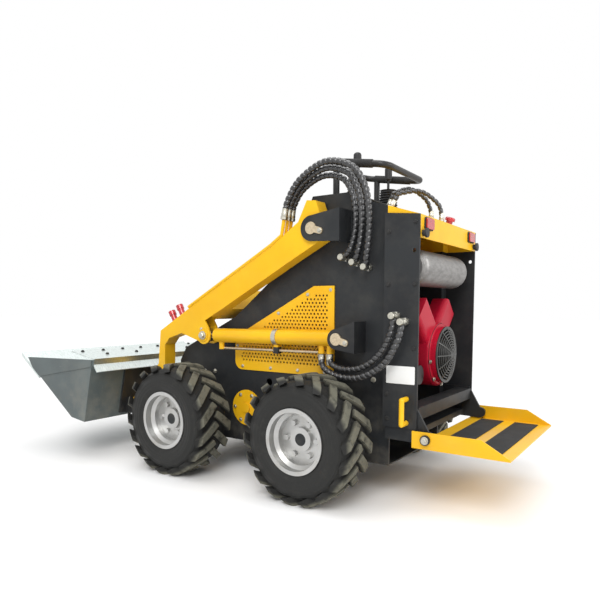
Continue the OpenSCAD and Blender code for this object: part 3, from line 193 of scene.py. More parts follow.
def dusty(finish, colour, most, rough, dust_rough=0.85):
    """Colour and roughness with road dust: a noise mask that fades with height."""
    low = 1 - finish.axis("Z").band(GROUND, KNEE_HIGH)
    patches = finish.noise(9.0, 6.0, 0.62).band(0.42, 0.72)
    film = (low * 0.75 + 0.25) * patches * most
    finish.set(base_color=finish.mix(film, colour, DUST))
    return finish.set(roughness=film * (dust_rough - rough) + rough)


# %% [markdown]
# Paint on a working machine is not one colour. The real yellow varies a little from panel to
# panel, has an orange-peel surface under its gloss, and carries dust near the ground. The same
# recipe serves every painted piece, with its own colour, gloss and amount of dust. Inside the
# fan's housing the red is painted over with black, as painted shade where its hollow lies in
# shadow.

# %% Painted finishes
def paint(name, colour, shade, rough, coat, dust, peel=0.05):
    """Paint: two close tones mixed by a broad noise, orange peel in the bump, dust low down."""
    finish = Finish(name, coat_weight=coat, coat_roughness=0.12, specular_ior_level=0.22)
    tone = finish.mix(finish.noise(5.0).band(0.35, 0.7), colour, shade)
    dusty(finish, tone, dust, rough)
    return finish.bump(finish.noise(420.0, 2.0), peel, 0.0006)


YELLOW, YELLOW_SHADE = (0.86, 0.49, 0.012, 1), (0.80, 0.43, 0.010, 1)
DARK, DARK_SHADE = (0.024, 0.026, 0.028, 1), (0.018, 0.019, 0.021, 1)
SOOT, SOOT_LIGHT = (0.018, 0.018, 0.019, 1), (0.026, 0.026, 0.026, 1)
RED, RED_SHADE = (0.46, 0.008, 0.030, 1), (0.40, 0.007, 0.026, 1)
SILVER, SILVER_SHADE = (0.52, 0.52, 0.51, 1), (0.43, 0.43, 0.42, 1)
CHALK, CHALK_SHADE = (0.80, 0.80, 0.78, 1), (0.74, 0.74, 0.72, 1)
yellow_paint = paint("yellow paint", YELLOW, YELLOW_SHADE, rough=0.38, coat=0.10, dust=0.10)
dark_paint = paint("dark paint", DARK, DARK_SHADE, rough=0.46, coat=0.04, dust=0.16, peel=0.12)
black_paint = paint("black paint", SOOT, SOOT_LIGHT, rough=0.42, coat=0.15, dust=0.15)
engine_red = paint("engine red", RED, RED_SHADE, rough=0.30, coat=0.06, dust=0.06)
rim_silver = paint("rim silver", SILVER, SILVER_SHADE, rough=0.34, coat=0.1, dust=0.40)
rim_silver.set(metallic=0.8)
sign_white = paint("sign white", CHALK, CHALK_SHADE, rough=0.4, coat=0.2, dust=0.1)

BUCKET_GREY, BUCKET_SHADE = (0.100, 0.124, 0.124, 1), (0.076, 0.094, 0.095, 1)
SCRATCHED = (0.28, 0.29, 0.28, 1)
SCRATCH_LINES = (14.0, 160.0, 90.0)


def bucket_paint():
    """Worn grey-green paint: scratches along the digging direction show brighter steel."""
    finish = Finish("bucket paint")
    tone = finish.mix(finish.noise(4.0).band(0.3, 0.7), BUCKET_GREY, BUCKET_SHADE)
    scratch = finish.noise(1.0, 8.0, 0.7, finish.stretched(SCRATCH_LINES)).band(0.60, 0.72)
    worn = finish.mix(scratch * 0.4, tone, SCRATCHED)
    dusty(finish, worn, 0.35, 0.48)
    return finish.bump(scratch + finish.noise(160.0), 0.12)


bucket_worn = bucket_paint()

# Painted shade: black over the red inside the fan housing, where its hollow lies in shadow.
PAINTED_SHADE_BLACK = (0.008, 0.008, 0.008, 1)
SHADE_EDGE = 0.001
GUARD_RIM, GUARD_TO_FACE, HOUSING_WALL = 0.008, 0.023, 0.012


def painted_shade_inside(finish, guard):
    """Painted shade in a fan housing: black in the guard's bore, or wider but behind its face."""
    low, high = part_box(guard)
    middle, reach = (low + high) / 2, (high.z - low.z) / 2
    across, rise = finish.axis("Y") - middle.y, finish.axis("Z") - middle.z
    radius = (across * across + rise * rise) ** 0.5
    bore, wall, face = reach - GUARD_RIM, reach + HOUSING_WALL, high.x + GUARD_TO_FACE
    behind = finish.axis("X").band(face, face + SHADE_EDGE)
    behind = behind * (1 - radius.band(wall, wall + SHADE_EDGE))
    inside = (1 - radius.band(bore, bore + SHADE_EDGE)).math("MAXIMUM", behind)
    outside = Wire(finish, finish.shader.inputs["Base Color"].links[0].from_socket)
    return finish.set(base_color=finish.mix(inside, outside, PAINTED_SHADE_BLACK))


# The engine red gets painted shade, black inside its fan housing.
painted_shade_inside(engine_red, "fan_guard").set(specular_ior_level=0.12)
print("painted finishes are ready")

# %% [markdown]
# Bare metal is told by its roughness more than by its colour. Turned pins and rods are smooth,
# the lip and the cutting edge are brushed by the soil, and the muffler has been heated. Castings
# are rough and dark. Stretching a noise along one axis makes the fine lines of brushing.

# %% Metals
def brushed(name, colour, rough, lines, wear=0.25):
    """Metal: noise stretched by lines makes fine streaks in colour, roughness and bump."""
    finish = Finish(name, metallic=1.0)
    streak = finish.noise(1.0, 6.0, 0.6, finish.stretched(lines))
    dark = tuple(c * 0.72 for c in colour[:3]) + (1,)
    finish.set(base_color=finish.mix(streak.band(0.3, 0.75), colour, dark))
    finish.set(roughness=streak * wear + rough)
    return finish.bump(streak, 0.08, 0.0004)


bright_steel = brushed("bright steel", (0.70, 0.69, 0.66, 1), 0.16, (260.0, 60.0, 260.0))
worn_steel = brushed("worn steel", (0.80, 0.87, 0.85, 1), 0.26, (40.0, 220.0, 40.0), 0.3)
passivated = brushed("passivated plate", (0.72, 0.60, 0.42, 1), 0.32, (120.0, 120.0, 120.0))
guard_wire = brushed("guard wire", (0.12, 0.12, 0.116, 1), 0.34, (180.0, 180.0, 180.0))
zinc = brushed("zinc plate", (0.62, 0.60, 0.52, 1), 0.30, (180.0, 180.0, 180.0))
muffler_steel = brushed("muffler steel", (0.34, 0.33, 0.32, 1), 0.38, (60.0, 25.0, 60.0), 0.3)


CAST_IRON, OILY_IRON = (0.060, 0.060, 0.062, 1), (0.022, 0.021, 0.020, 1)


def casting():
    """Sand-cast surface: fine grain in the bump, oily patches in the roughness."""
    finish = Finish("engine casting", metallic=0.3)
    oil = finish.noise(14.0, 5.0).band(0.45, 0.65)
    finish.set(base_color=finish.mix(oil, CAST_IRON, OILY_IRON))
    finish.set(roughness=0.62 - oil * 0.25)
    return finish.bump(finish.noise(380.0), 0.35)


engine_casting = casting()
print("metals are ready")

# %% [markdown]
# Rubber and plastic are nearly black, and look alike until their surface is seen. Tyres are dull
# and take dust on the tops of the lugs, which are the parts that touch the ground. The distance
# from the axle tells where a lug's top is, so each axle has its own tyre finish.

# %% Rubber and plastic
def plain_black(name, tone, rough, grain, strength):
    """Black plastic or rubber: a grained bump, and a slight change of roughness."""
    finish = Finish(name, specular_ior_level=0.35)
    patch = finish.noise(22.0, 5.0)
    light = tuple(c * 1.7 for c in tone[:3]) + (1,)
    finish.set(base_color=finish.mix(patch.band(0.4, 0.75), tone, light))
    finish.set(roughness=patch * 0.2 + rough)
    return finish.bump(finish.noise(grain, 3.0), strength)


hose_black = plain_black("hose wrap", (0.016, 0.016, 0.017, 1), 0.26, 500.0, 0.06)
hose_black.set(specular_ior_level=0.65, coat_weight=0.45, coat_roughness=0.14)
moulded_black = plain_black("moulded black", (0.020, 0.020, 0.021, 1), 0.45, 420.0, 0.15)
grip_black = plain_black("grip pad", (0.022, 0.022, 0.022, 1), 0.72, 520.0, 0.9)

TREAD_R, LUG_TOP_R = 0.236, 0.2525
RUBBER, RUBBER_FILM = (0.018, 0.018, 0.017, 1), (0.070, 0.067, 0.056, 1)
LUG_DUST = (0.165, 0.160, 0.122, 1)
WALL_IN, WALL_OUT, WALL_EDGE, WALL_RIB = 0.152, 0.206, 0.004, 0.009


def tyre_rubber(joint):
    """Tyre: dust lies on the lugs' tops, far from the axle, and ribs ring the walls nearer it."""
    x, _, z = joints[joint]["pos_m"]
    finish = Finish("tyre " + joint, specular_ior_level=0.25)
    across, high = finish.axis("X") - x, finish.axis("Z") - z
    radius = (across * across + high * high) ** 0.5
    patches = finish.noise(26.0, 6.0, 0.65)
    top = radius.band(TREAD_R, LUG_TOP_R) * patches.band(0.25, 0.55) * 0.8
    film = patches.band(0.5, 0.8) * 0.22
    rubber = finish.mix(film, RUBBER, RUBBER_FILM)
    finish.set(base_color=finish.mix(top, rubber, LUG_DUST))
    wall = 1 - radius.band(WALL_OUT, WALL_OUT + WALL_EDGE)
    ribs = radius.math("PINGPONG", WALL_RIB) * (1 / WALL_RIB)
    ribs = ribs * wall * radius.band(WALL_IN, WALL_IN + WALL_EDGE)
    finish.set(roughness=patches * 0.2 + 0.62 - wall * 0.2)
    return finish.bump(finish.noise(240.0, 4.0) + ribs * 2.0, 0.35)


tyre_front = tyre_rubber("wheel_front_left_spin")
tyre_rear = tyre_rubber("wheel_rear_left_spin")


PLASTIC_SHADE = (0.34, 0.006, 0.010, 1)


def red_plastic(name, colour, ribs):
    """Glossy red plastic; a lens has fine upright ribs inside it, shown by the bump."""
    finish = Finish(name, coat_weight=0.8, coat_roughness=0.05)
    cloud = finish.noise(30.0).band(0.3, 0.7)
    finish.set(base_color=finish.mix(cloud, colour, PLASTIC_SHADE))
    finish.set(roughness=finish.noise(60.0) * 0.1 + 0.18)
    sockets = {"Vector": finish.place, "Scale": ribs}
    wave = finish.node("ShaderNodeTexWave", {"bands_direction": "Y"}, sockets)
    return finish.bump(wave, 0.35)


lamp_lens = red_plastic("lamp lens", (0.48, 0.008, 0.012, 1), 40.0)
red_cap = red_plastic("red cap", (0.52, 0.010, 0.016, 1), 8.0)
print("rubber and plastic are ready")

# %% [markdown]
# Every solid now gets the finish of the real piece. A table of finish to names keeps that in one
# place, and a check makes sure that no solid is left with the plain colour it was packed with.

# %% Finishes on the solids
WEARS = {
    yellow_paint: "side_grille_left side_grille_right chain_covers console tie_down_loops "
                  "arm_left arm_right arm_cross_box arm_pipes lift_barrel_left "
                  "lift_barrel_right tilt_barrel platform_tray",
    dark_paint: "side_plate_left side_plate_right belly_tub hood rear_panel_left "
                "rear_panel_right engine_deck cross_beam rear_step platform_brackets "
                "axle_housings pivot_brackets_left pivot_brackets_right",
    black_paint: "hand_rail attach_plate",
    bucket_worn: "bucket_shell",
    passivated: "pivot_pins",
    bright_steel: "hose_ports lift_rod_left lift_rod_right tilt_rod",
    guard_wire: "fan_guard",
    worn_steel: "bucket_lip cutting_edge",
    muffler_steel: "muffler",
    engine_casting: "engine_block",
    engine_red: "engine_shroud",
    lamp_lens: "tail_lamps",
    red_cap: "stop_button couplers",
    moulded_black: "air_cleaner joysticks bump_stops",
    hose_black: "lift_hoses cylinder_hoses console_hoses",
    grip_black: "platform_pads",
    rim_silver: "rim_front_left rim_front_right rim_rear_left rim_rear_right",
    tyre_front: "tyre_front_left tyre_front_right",
    tyre_rear: "tyre_rear_left tyre_rear_right",
}
dressed = set()
for finish, names in WEARS.items():
    for name in names.split():
        nodes[name].data.materials.clear()
        nodes[name].data.materials.append(finish.material)
        dressed.add(name)
print("solids without a finish:", sorted(set(nodes) - dressed))

# %% [markdown]
# New pieces are surfaces on a grid. A row of rings, each with the same number of points, is a
# loft: hoses, nuts, bolts, plates and grips are all made that way. The ends are closed with one
# face each, so that every piece is a watertight skin with its faces outwards.

# %% Grids, lofts and pieces
SHARP = math.radians(32)
mid_wheelbase = sum(joints[f"wheel_{end}_left_spin"]["pos_m"][0] for end in ("front", "rear")) / 2


def place(points):
    """Points in millimetres from mid wheelbase, as points of the frame in metres."""
    return np.asarray(points, float) / 1000 + [mid_wheelbase, 0, 0]


def unit(v):
    return v / np.linalg.norm(v, axis=-1, keepdims=True)


def grid_faces(rows, columns, close_rows=False):
    """Four-sided faces of a grid whose columns close on themselves."""
    r = np.arange(rows if close_rows else rows - 1)[:, None]
    c = np.arange(columns)[None, :]
    after, beside = (r + 1) % rows, (c + 1) % columns
    corners = (r * columns + c, r * columns + beside, after * columns + beside, after * columns + c)
    return np.stack(corners, -1).reshape(-1, 4).tolist()


def loft(rings):
    """A skin over rings of points, closed by a face at each end."""
    rows, columns = rings.shape[:2]
    last = (rows - 1) * columns
    ends = [list(range(columns))[::-1], list(range(last, last + columns))]
    return rings.reshape(-1, 3), grid_faces(rows, columns) + ends


def joined(parts):
    """Several skins as one list of points and faces."""
    points, faces, start = [], [], 0
    for part_points, part_faces in parts:
        points.append(part_points)
        faces += [[start + i for i in face] for face in part_faces]
        start += len(part_points)
    return np.vstack(points), faces


def add_piece(name, skin, finish, body=None):
    """A mesh object at the origin, with its place in its points, that rides on a body."""
    points, faces = skin
    mesh = bpy.data.meshes.new(name)
    mesh.from_pydata(points.tolist(), [], faces)
    mesh.polygons.foreach_set("use_smooth", np.ones(len(mesh.polygons), bool))
    mesh.set_sharp_from_angle(angle=SHARP)
    mesh.materials.append(finish.material)
    piece = bpy.data.objects.new(name, mesh)
    bpy.context.scene.collection.objects.link(piece)
    if body:
        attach(piece, body)
    return piece


def axes_about(direction):
    """Two unit vectors square to a direction."""
    direction = unit(np.asarray(direction, float))
    other = np.array([0.0, 0, 1]) if abs(direction[2]) < 0.9 else np.array([1.0, 0, 0])
    first = unit(np.cross(other, direction))
    return first, np.cross(direction, first)


def lathe_rings(start, direction, profile, sides, spin=0.0):
    """Rings of a profile's (distance, radius) pairs along a straight axis."""
    direction = unit(np.asarray(direction, float))
    first, second = axes_about(direction)
    profile = np.asarray(profile, float)
    angle = np.linspace(0, 2 * np.pi, sides, endpoint=False) + spin
    rim = np.cos(angle)[:, None] * first + np.sin(angle)[:, None] * second
    centres = start + profile[:, :1] * direction
    return centres[:, None] + profile[:, 1][:, None, None] * rim


def turned(start, direction, profile, sides=20, spin=0.0):
    """A lathe shape that is closed at both ends."""
    return loft(lathe_rings(start, direction, profile, sides, spin))


def hoop(start, direction, profile, sides=40):
    """A lathe shape whose profile closes on itself, so that it is open in the middle."""
    rings = lathe_rings(start, direction, profile, sides)
    return rings.reshape(-1, 3), grid_faces(*rings.shape[:2], close_rows=True)


# %% [markdown]
# The hydraulic hoses are the liveliest part of this machine. Each is a rubber tube in a spiral
# guard, so its skin is a tube whose radius rises and falls with the winding: the height at a
# point depends on the distance along the hose less the share of a turn round it. The ends are
# crimped collars with a hexagon nut.

# %% Hose curves
HOSE_R, CONSOLE_HOSE_R = 0.0130, 0.0100
WRAP_PITCH, WRAP_GROOVE = 0.0230, 0.0032
RING_STEP, HOSE_SIDES = 0.0025, 16
ROUTE_STEPS, STRAIGHT_STEPS = 16, 4
WRAP_FLAT = 0.4
END_RINGS = 3


def smooth_route(route):
    """A curve through the route: cubics whose slopes are those of the chords beside them."""
    p = np.vstack([route[:1], route, route[-1:]])
    a, b, c, d = (p[i:len(p) - 3 + i][:, None] for i in range(4))
    t = np.linspace(0, 1, ROUTE_STEPS, endpoint=False)[None, :, None]
    slope, square, cube = c - a, 2 * a - 5 * b + 4 * c - d, 3 * b - a - 3 * c + d
    curve = (2 * b + slope * t + square * t**2 + cube * t**3) / 2
    return np.vstack([curve.reshape(-1, 3), route[-1:]])


def hose_path(route):
    """Points a ring apart along a route that leaves and meets its fittings straight."""
    curve = np.vstack([
        np.linspace(route[0], route[1], STRAIGHT_STEPS)[:-1],
        smooth_route(route[1:-1]),
        np.linspace(route[-2], route[-1], STRAIGHT_STEPS)[1:],
    ])
    along = np.concatenate([[0], np.cumsum(np.linalg.norm(np.diff(curve, axis=0), axis=1))])
    even = np.linspace(0, along[-1], int(along[-1] / RING_STEP))
    return np.stack([np.interp(even, along, curve[:, k]) for k in range(3)], 1), even


def carried_axes(path):
    """Directions of a path, and a side vector carried along it without twisting."""
    ahead = unit(np.gradient(path, axis=0))
    side = np.zeros_like(path)
    side[0] = axes_about(ahead[0])[0]
    for i in range(1, len(path)):
        side[i] = unit(side[i - 1] - ahead[i] * (side[i - 1] @ ahead[i]))
    return ahead, side


def wrapped_hose(route, radius):
    """A tube with a spiral guard: its radius dips in the groove between two windings."""
    path, along = hose_path(route)
    ahead, side = carried_axes(path)
    over = np.cross(ahead, side)
    angle = np.linspace(0, 2 * np.pi, HOSE_SIDES, endpoint=False)
    phase = along[:, None] / WRAP_PITCH - angle / (2 * np.pi)
    dip = np.clip((1 + WRAP_FLAT) * np.cos(2 * np.pi * phase) - WRAP_FLAT, 0, 1)
    rim = np.cos(angle)[:, None] * side[:, None] + np.sin(angle)[:, None] * over[:, None]
    return loft(path[:, None] + (radius - WRAP_GROOVE * dip)[..., None] * rim), path


COLLAR = np.array([
    (0, 0.80), (0, 1.02), (0.3, 1.12), (1.0, 1.12), (1.15, 1.03), (2.5, 1.03), (2.7, 0.9)])
NUT = np.array([(0, 0.95), (0.12, 1.20), (1.0, 1.20), (1.12, 0.95)])


def hose_end(at, inwards, radius):
    """A crimped collar over the hose's end, and a hexagon nut against the fitting."""
    inwards = unit(np.asarray(inwards, float))
    collar = turned(at + inwards * radius, inwards, COLLAR * radius)
    return joined([turned(at, inwards, NUT * radius, 6), collar])


# %% [markdown]
# The routes repeat those of the solids. They are lists of points in millimetres from mid
# wheelbase. A lift hose starts on a pipe of the arm, a cylinder hose on the left cylinder, and
# all of them end at ports of the machine.

# %% Hose routes
PIPE_TOP, HOSE_NECK = (-166.34, 1140.56), (-169.29, 1156.29)


def above_pipe(y):
    """The first two points of a lift hose: its pipe's end and the neck straight above it."""
    return [(x, y, z) for x, z in (PIPE_TOP, HOSE_NECK)]


LIFT_HOSES = [
    above_pipe(292) + [
        (-182, 292, 1206), (-232, 293, 1270), (-330, 295, 1312), (-424, 297, 1292),
        (-472, 299, 1226), (-486, 301, 1150), (-486, 303, 1080), (-470, 308, 1010),
        (-434, 302, 974), (-434, 284.5, 974)],
    above_pipe(319) + [
        (-184, 319, 1212), (-240, 320, 1284), (-352, 322, 1334), (-458, 323, 1308),
        (-510, 324, 1236), (-526, 323, 1150), (-524, 321, 1060), (-508, 317, 990),
        (-486, 304, 952), (-486, 284.5, 952)],
    above_pipe(346) + [
        (-186, 346, 1218), (-248, 347, 1298), (-372, 349, 1354), (-492, 350, 1324),
        (-552, 348, 1244), (-570, 343, 1140), (-566, 337, 1040), (-552, 327, 968),
        (-538, 304, 932), (-538, 284.5, 932)],
]
CYLINDER_HOSES = [
    [(-379.5, 316, 579), (-379.5, 316, 562), (-400, 324, 536), (-470, 346, 524),
     (-560, 360, 540), (-640, 366, 600), (-684, 372, 680), (-690, 366, 742),
     (-690, 344.5, 742)],
    [(-339.5, 316, 577), (-339.5, 316, 558), (-362, 330, 520), (-450, 356, 494),
     (-560, 374, 502), (-660, 382, 560), (-716, 384, 650), (-726, 368, 720),
     (-726, 344.5, 720)],
]
CONSOLE_HOSES = [
    [(-470, -30, 1218.5), (-490, -40, 1280), (-550, -80, 1300), (-610, -120, 1255),
     (-630, -140, 1196), (-630, -140, 1168)],
    [(-500, 10, 1209), (-530, -10, 1270), (-610, -60, 1280), (-676, -98, 1226),
     (-690, -110, 1174), (-690, -110, 1149)],
]

# %% [markdown]
# A hose between two bodies would have to bend when the arm moves; here its skin stays where it
# is built, and only its end fittings ride on the two bodies. The short console hoses have both
# ends on the machine and simply ride on it.

# %% Hoses on the machine
def dress_hoses(group, routes, radius, near, far):
    """Makes a group's hoses and their ends. The far body carries the start, the near one the end.

    Hoses between two bodies stay where they are built and ride on neither; hoses with both ends
    on one body ride on it.
    """
    skins, paths = zip(*(wrapped_hose(place(route), radius) for route in routes))
    hoses = add_piece(group + "_wrapped", joined(skins), hose_black)
    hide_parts(group)
    if far == near:
        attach(hoses, near)
    else:
        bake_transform(hoses)
    starts = [hose_end(path[0], path[END_RINGS] - path[0], radius) for path in paths]
    ends = [hose_end(path[-1], path[-1 - END_RINGS] - path[-1], radius) for path in paths]
    add_piece(group + "_start_fittings", joined(starts), zinc, far)
    add_piece(group + "_end_fittings", joined(ends), zinc, near)


dress_hoses("lift_hoses", LIFT_HOSES, HOSE_R, "chassis", "lift_arm")
dress_hoses("cylinder_hoses", CYLINDER_HOSES, HOSE_R, "chassis", "lift_cylinder_left")
dress_hoses("console_hoses", CONSOLE_HOSES, CONSOLE_HOSE_R, "chassis", "chassis")
print("hoses:", len(LIFT_HOSES + CYLINDER_HOSES + CONSOLE_HOSES))

# %% [markdown]
# Bolts hold the plates together and give the eye a scale. One bolt is a washer and a hexagon head
# with a chamfer; a set of them is one piece, made by copying the bolt's points to each place at
# once. The places are counted from the edges of the plates that they hold.

# %% Bolts
WASHER = np.array([(0, 1.28), (0.26, 1.28), (0.30, 1.20)])
HEAD = np.array([(0.28, 1.0), (0.92, 1.0), (1.06, 0.86)])


def bolts(name, places, normal, size, body, finish=zinc):
    """A set of bolts with heads of that radius, all with the same direction."""
    normal = unit(np.asarray(normal, float))
    one = joined([
        turned(np.zeros(3), normal, WASHER * size, 12),
        turned(np.zeros(3), normal, HEAD * size, 6),
    ])
    at = place(places)
    points = (at[:, None] + one[0][None]).reshape(-1, 3)
    faces = [[k * len(one[0]) + i for i in face] for k in range(len(at)) for face in one[1]]
    add_piece(name, (points, faces), finish, body)


def side_bolts(name, y, places, size, body, finish=zinc, slot="bright_steel"):
    """Bolts at (x, z) places that look outwards on the left, and their mirror images."""
    for end, way in (("left", 1), ("right", -1)):
        rows = [(x, way * y, z) for x, z in places]
        bolts(f"{name}_{end}", rows, (0, way, 0), size, body, finish)


def on_circle(radius, degrees):
    """Pairs of a radius times the cosine and the sine of some angles."""
    return [(radius * math.cos(a), radius * math.sin(a)) for a in np.radians(degrees)]


LIP_NORMAL, LIP_HEAD = (-0.164, 0, 0.986), 0.0075
LIP_ROWS = ((960, 538.6, 550, 10), (880, 525.4, 462, 6))
lip_places = [(x, y, z) for x, z, half, count in LIP_ROWS for y in np.linspace(-half, half, count)]
bolts("lip_bolts", lip_places, LIP_NORMAL, LIP_HEAD, "bucket", black_paint)

CHAIN_X, CHAIN_Z, CHAIN_CIRCLE = 105, 298, 68
FAN_Z, SHROUD_X, SHROUD_CIRCLE, SHROUD_HEAD = 574, -742, 127, 0.007
PANEL_Y, PANEL_HEAD = 330, 0.007
chain_circle = on_circle(CHAIN_CIRCLE, np.arange(0, 360, 60))
chain_places = [(CHAIN_X + c, CHAIN_Z + s) for c, s in chain_circle]
cover_places = [(x, 495) for x in (-330, -190, -40, 125)] + [(-358, z) for z in (640, 845)]
cover_places += [(73, 662), (-85, 744), (-242, 826), (155, 590)]
plate_places = [(374, 453), (307, 457), (430, 210), (-560, 480)]

# Each row: name, distance from the middle plane, places, radius of the heads, body.
SIDE_SETS = [
    ("chain_cover_bolts", 276, chain_places, 0.007, "chassis"),
    ("side_plate_bolts", 270, plate_places, 0.009, "chassis"),
    ("side_cover_bolts", 276, cover_places, 0.006, "chassis"),
    ("lock_plate_bolts", 371, [(-361.1, 1079.8), (-483.1, 630.8)], 0.008, "chassis"),
    ("knee_pin_heads", 354, [(306, 636)], 0.016, "lift_arm"),
    ("knee_lock_bolts", 350, [(318, 666)], 0.006, "lift_arm"),
    ("platform_pin_bolts", 360.4, [(-819, 283)], 0.012, "chassis"),
]
for row in SIDE_SETS:
    side_bolts(*row)
panel_places = [(-650, z) for z in (345, 440, 640, 860, 1060)]
panel_places += [(-758, z) for z in (620, 860, 1090)]
side_bolts("rear_panel_bolts", PANEL_Y, panel_places, PANEL_HEAD, "chassis",
           black_paint, "black_paint")
shroud_turn = (100, 140, 180, 220, 260)
shroud_places = [(SHROUD_X, s, FAN_Z + c) for c, s in on_circle(SHROUD_CIRCLE, shroud_turn)]
bolts("shroud_bolts", shroud_places, (-1, 0, 0), SHROUD_HEAD, "chassis")
print("bolt sets are on")

# %% [markdown]
# Each lift cylinder carries a plated pipe below its barrel, held by a steel band and a black
# clamp. They lie along the barrel, so their places are distances from its rear pin, measured
# forwards on the cylinder's own axis and downwards from it.

# %% Bands and pipes on the lift cylinders
BAND = np.array([(0, 0.0340), (0, 0.0362), (0.0226, 0.0362), (0.0226, 0.0340)])
CLAMP = np.array([(0, 0.0165), (0.002, 0.0185), (0.027, 0.0185), (0.029, 0.0165)])
PIPE_R, PIPE_FROM, PIPE_TO, PIPE_DROP = 0.0066, 0.115, 0.640, 0.059
BAND_AT, CLAMP_AT, CLAMP_DROP = 0.3201, 0.3314, 0.0440

for side in ("left", "right"):
    rear_pin = np.array(joints[f"lift_cylinder_{side}_pivot"]["pos_m"])
    along = unit(np.array(joints[f"lift_piston_{side}_slide"]["axis"], float))
    down = np.cross(along, (0, -1, 0))
    pipe = np.array([(0, PIPE_R), (PIPE_TO - PIPE_FROM, PIPE_R)])
    band = hoop(rear_pin + BAND_AT * along, along, BAND)
    skin = turned(rear_pin + PIPE_FROM * along + PIPE_DROP * down, along, pipe)
    clamp_at = rear_pin + CLAMP_AT * along + CLAMP_DROP * down
    clamp = turned(clamp_at, down, CLAMP, sides=4, spin=math.pi / 4)
    body = "lift_cylinder_" + side
    add_piece("cylinder_band_" + side, band, zinc, body)
    add_piece("cylinder_pipe_" + side, skin, passivated, body)
    add_piece("pipe_clamp_" + side, clamp, moulded_black, body)
print("bands and pipes are on")

# %% [markdown]
# The hands meet two soft things: foam sleeves along the legs of the hand rail, and the rubber
# bellows round each joystick. Both are turned profiles, one of distance along an axis against
# radius. The folds of the bellows swap between a wide and a narrow radius that shrink upwards.

# %% Sleeves and bellows
SLEEVE = np.array([(0, 0.0140), (0.004, 0.0175), (0.186, 0.0175), (0.190, 0.0140)])
RAIL_PITCH, RAIL_Y = math.radians(9), 190
RAIL_REAR, SLEEVE_FROM = np.array([-565.0, 0, 1352.0]), 60.0
rail_way = np.array([math.cos(RAIL_PITCH), 0, math.sin(RAIL_PITCH)])
sleeve_at = [RAIL_REAR + SLEEVE_FROM * rail_way + (0, y, 0) for y in (RAIL_Y, -RAIL_Y)]
sleeves = [turned(at, rail_way, SLEEVE) for at in place(sleeve_at)]
add_piece("rail_sleeves", joined(sleeves), grip_black, "chassis")

FOLDS, BOOT_R, BOOT_H, BOOT_SHRINK, FOLD_DIP = 7, 0.046, 0.080, 0.14, 0.16
BOOT_TOP, BOOT_TOP_R, STICK_Y = BOOT_H * 1.06, BOOT_R * 0.3, 0.150
fold = np.arange(2 * FOLDS + 1)
boot_r = BOOT_R * (1 - BOOT_SHRINK * fold / fold[-1]) * (1 - FOLD_DIP * (fold % 2))
bellows = np.vstack([np.stack([BOOT_H * fold / fold[-1], boot_r], 1), [(BOOT_TOP, BOOT_TOP_R)]])
stick_low, stick_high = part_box("joysticks")
stick_x = (stick_low.x + stick_high.x) / 2
feet = [np.array([stick_x, y, stick_low.z]) for y in (STICK_Y, -STICK_Y)]
boots = [turned(foot, (0, 0, 1), bellows) for foot in feet]
add_piece("joystick_bellows", joined(boots), moulded_black, "chassis")
print("sleeves and bellows are on")

# %% [markdown]
# The sign on the left rear panel is a thin plate with round corners and nothing on it. A rounded
# rectangle is four quarter circles joined by straight sides, and the plate is a loft of three of
# them. The bezels round the tail lamps are a small square profile carried along the same curve.

# %% Sign plate and lamp bezels
CORNER_POINTS = 6


def rounded_loop(width, height, radius):
    """Points round a rectangle with round corners, counter-clockwise from its right-hand side."""
    turn = np.linspace(0, np.pi / 2, CORNER_POINTS)
    half = np.array([width / 2 - radius, height / 2 - radius])
    corners = np.array([(1, 1), (-1, 1), (-1, -1), (1, -1)]) * half
    arcs = []
    for quarter, corner in enumerate(corners):
        angle = turn + quarter * np.pi / 2
        arcs.append(corner + radius * np.stack([np.cos(angle), np.sin(angle)], 1))
    return np.vstack(arcs)


# Rise and inset of a plate's edge, as shares of its thickness.
PLATE_EDGE = np.array([(0, 0), (0.7, 0), (1, 0.6)])


def plate(centre, across, upwards, size, radius, thick):
    """A plate with a fine chamfer, standing off a surface along across x upwards."""
    across, upwards = np.asarray(across, float), np.asarray(upwards, float)
    out = np.cross(across, upwards)
    rings = []
    for rise, inset in PLATE_EDGE * thick:
        loop = rounded_loop(size[0] - 2 * inset, size[1] - 2 * inset, radius)
        rings.append(centre + loop[:, :1] * across + loop[:, 1:] * upwards + rise * out)
    return loft(np.stack(rings))


SIGN_AT, SIGN_SIZE, SIGN_CORNER, SIGN_THICK = (-705, 330, 516), (0.118, 0.068), 0.004, 0.0016
sign = plate(place(SIGN_AT), (-1, 0, 0), (0, 0, 1), SIGN_SIZE, SIGN_CORNER, SIGN_THICK)
add_piece("sign_plate", sign, sign_white, "chassis")

BEZEL_PROFILE = np.array([
    (0, 0), (0.003, 0), (0.003, 0.006), (0.002, 0.007), (0.001, 0.007), (0, 0.006)])
HAIR = 0.001


def bezel(centre, width, height, radius):
    """A frame round a lamp: the profile's first share goes outwards and its second backwards."""
    loop = rounded_loop(width, height, radius)
    outwards = unit(rounded_loop(width + 2 * HAIR, height + 2 * HAIR, radius + HAIR) - loop)
    flat = loop[:, None] + BEZEL_PROFILE[None, :, :1] * outwards[:, None]
    back = np.broadcast_to(-BEZEL_PROFILE[None, :, 1:], flat[..., :1].shape)
    rings = centre + np.concatenate([back, -flat[..., :1], flat[..., 1:]], -1)
    return rings.reshape(-1, 3), grid_faces(*rings.shape[:2], close_rows=True)


lamp_low, lamp_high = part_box("tail_lamps")
LAMP_Y, LAMP_WIDTH, LAMP_HEIGHT, LAMP_CORNER = 0.250, 0.070, 0.040, 0.006
lamp_z = (lamp_low.z + lamp_high.z) / 2
lamp_middles = [np.array([lamp_high.x, y, lamp_z]) for y in (LAMP_Y, -LAMP_Y)]
frames = [bezel(middle, LAMP_WIDTH + HAIR, LAMP_HEIGHT + HAIR, LAMP_CORNER)
          for middle in lamp_middles]
add_piece("lamp_bezels", joined(frames), moulded_black, "chassis")
print("sign and bezels are on")

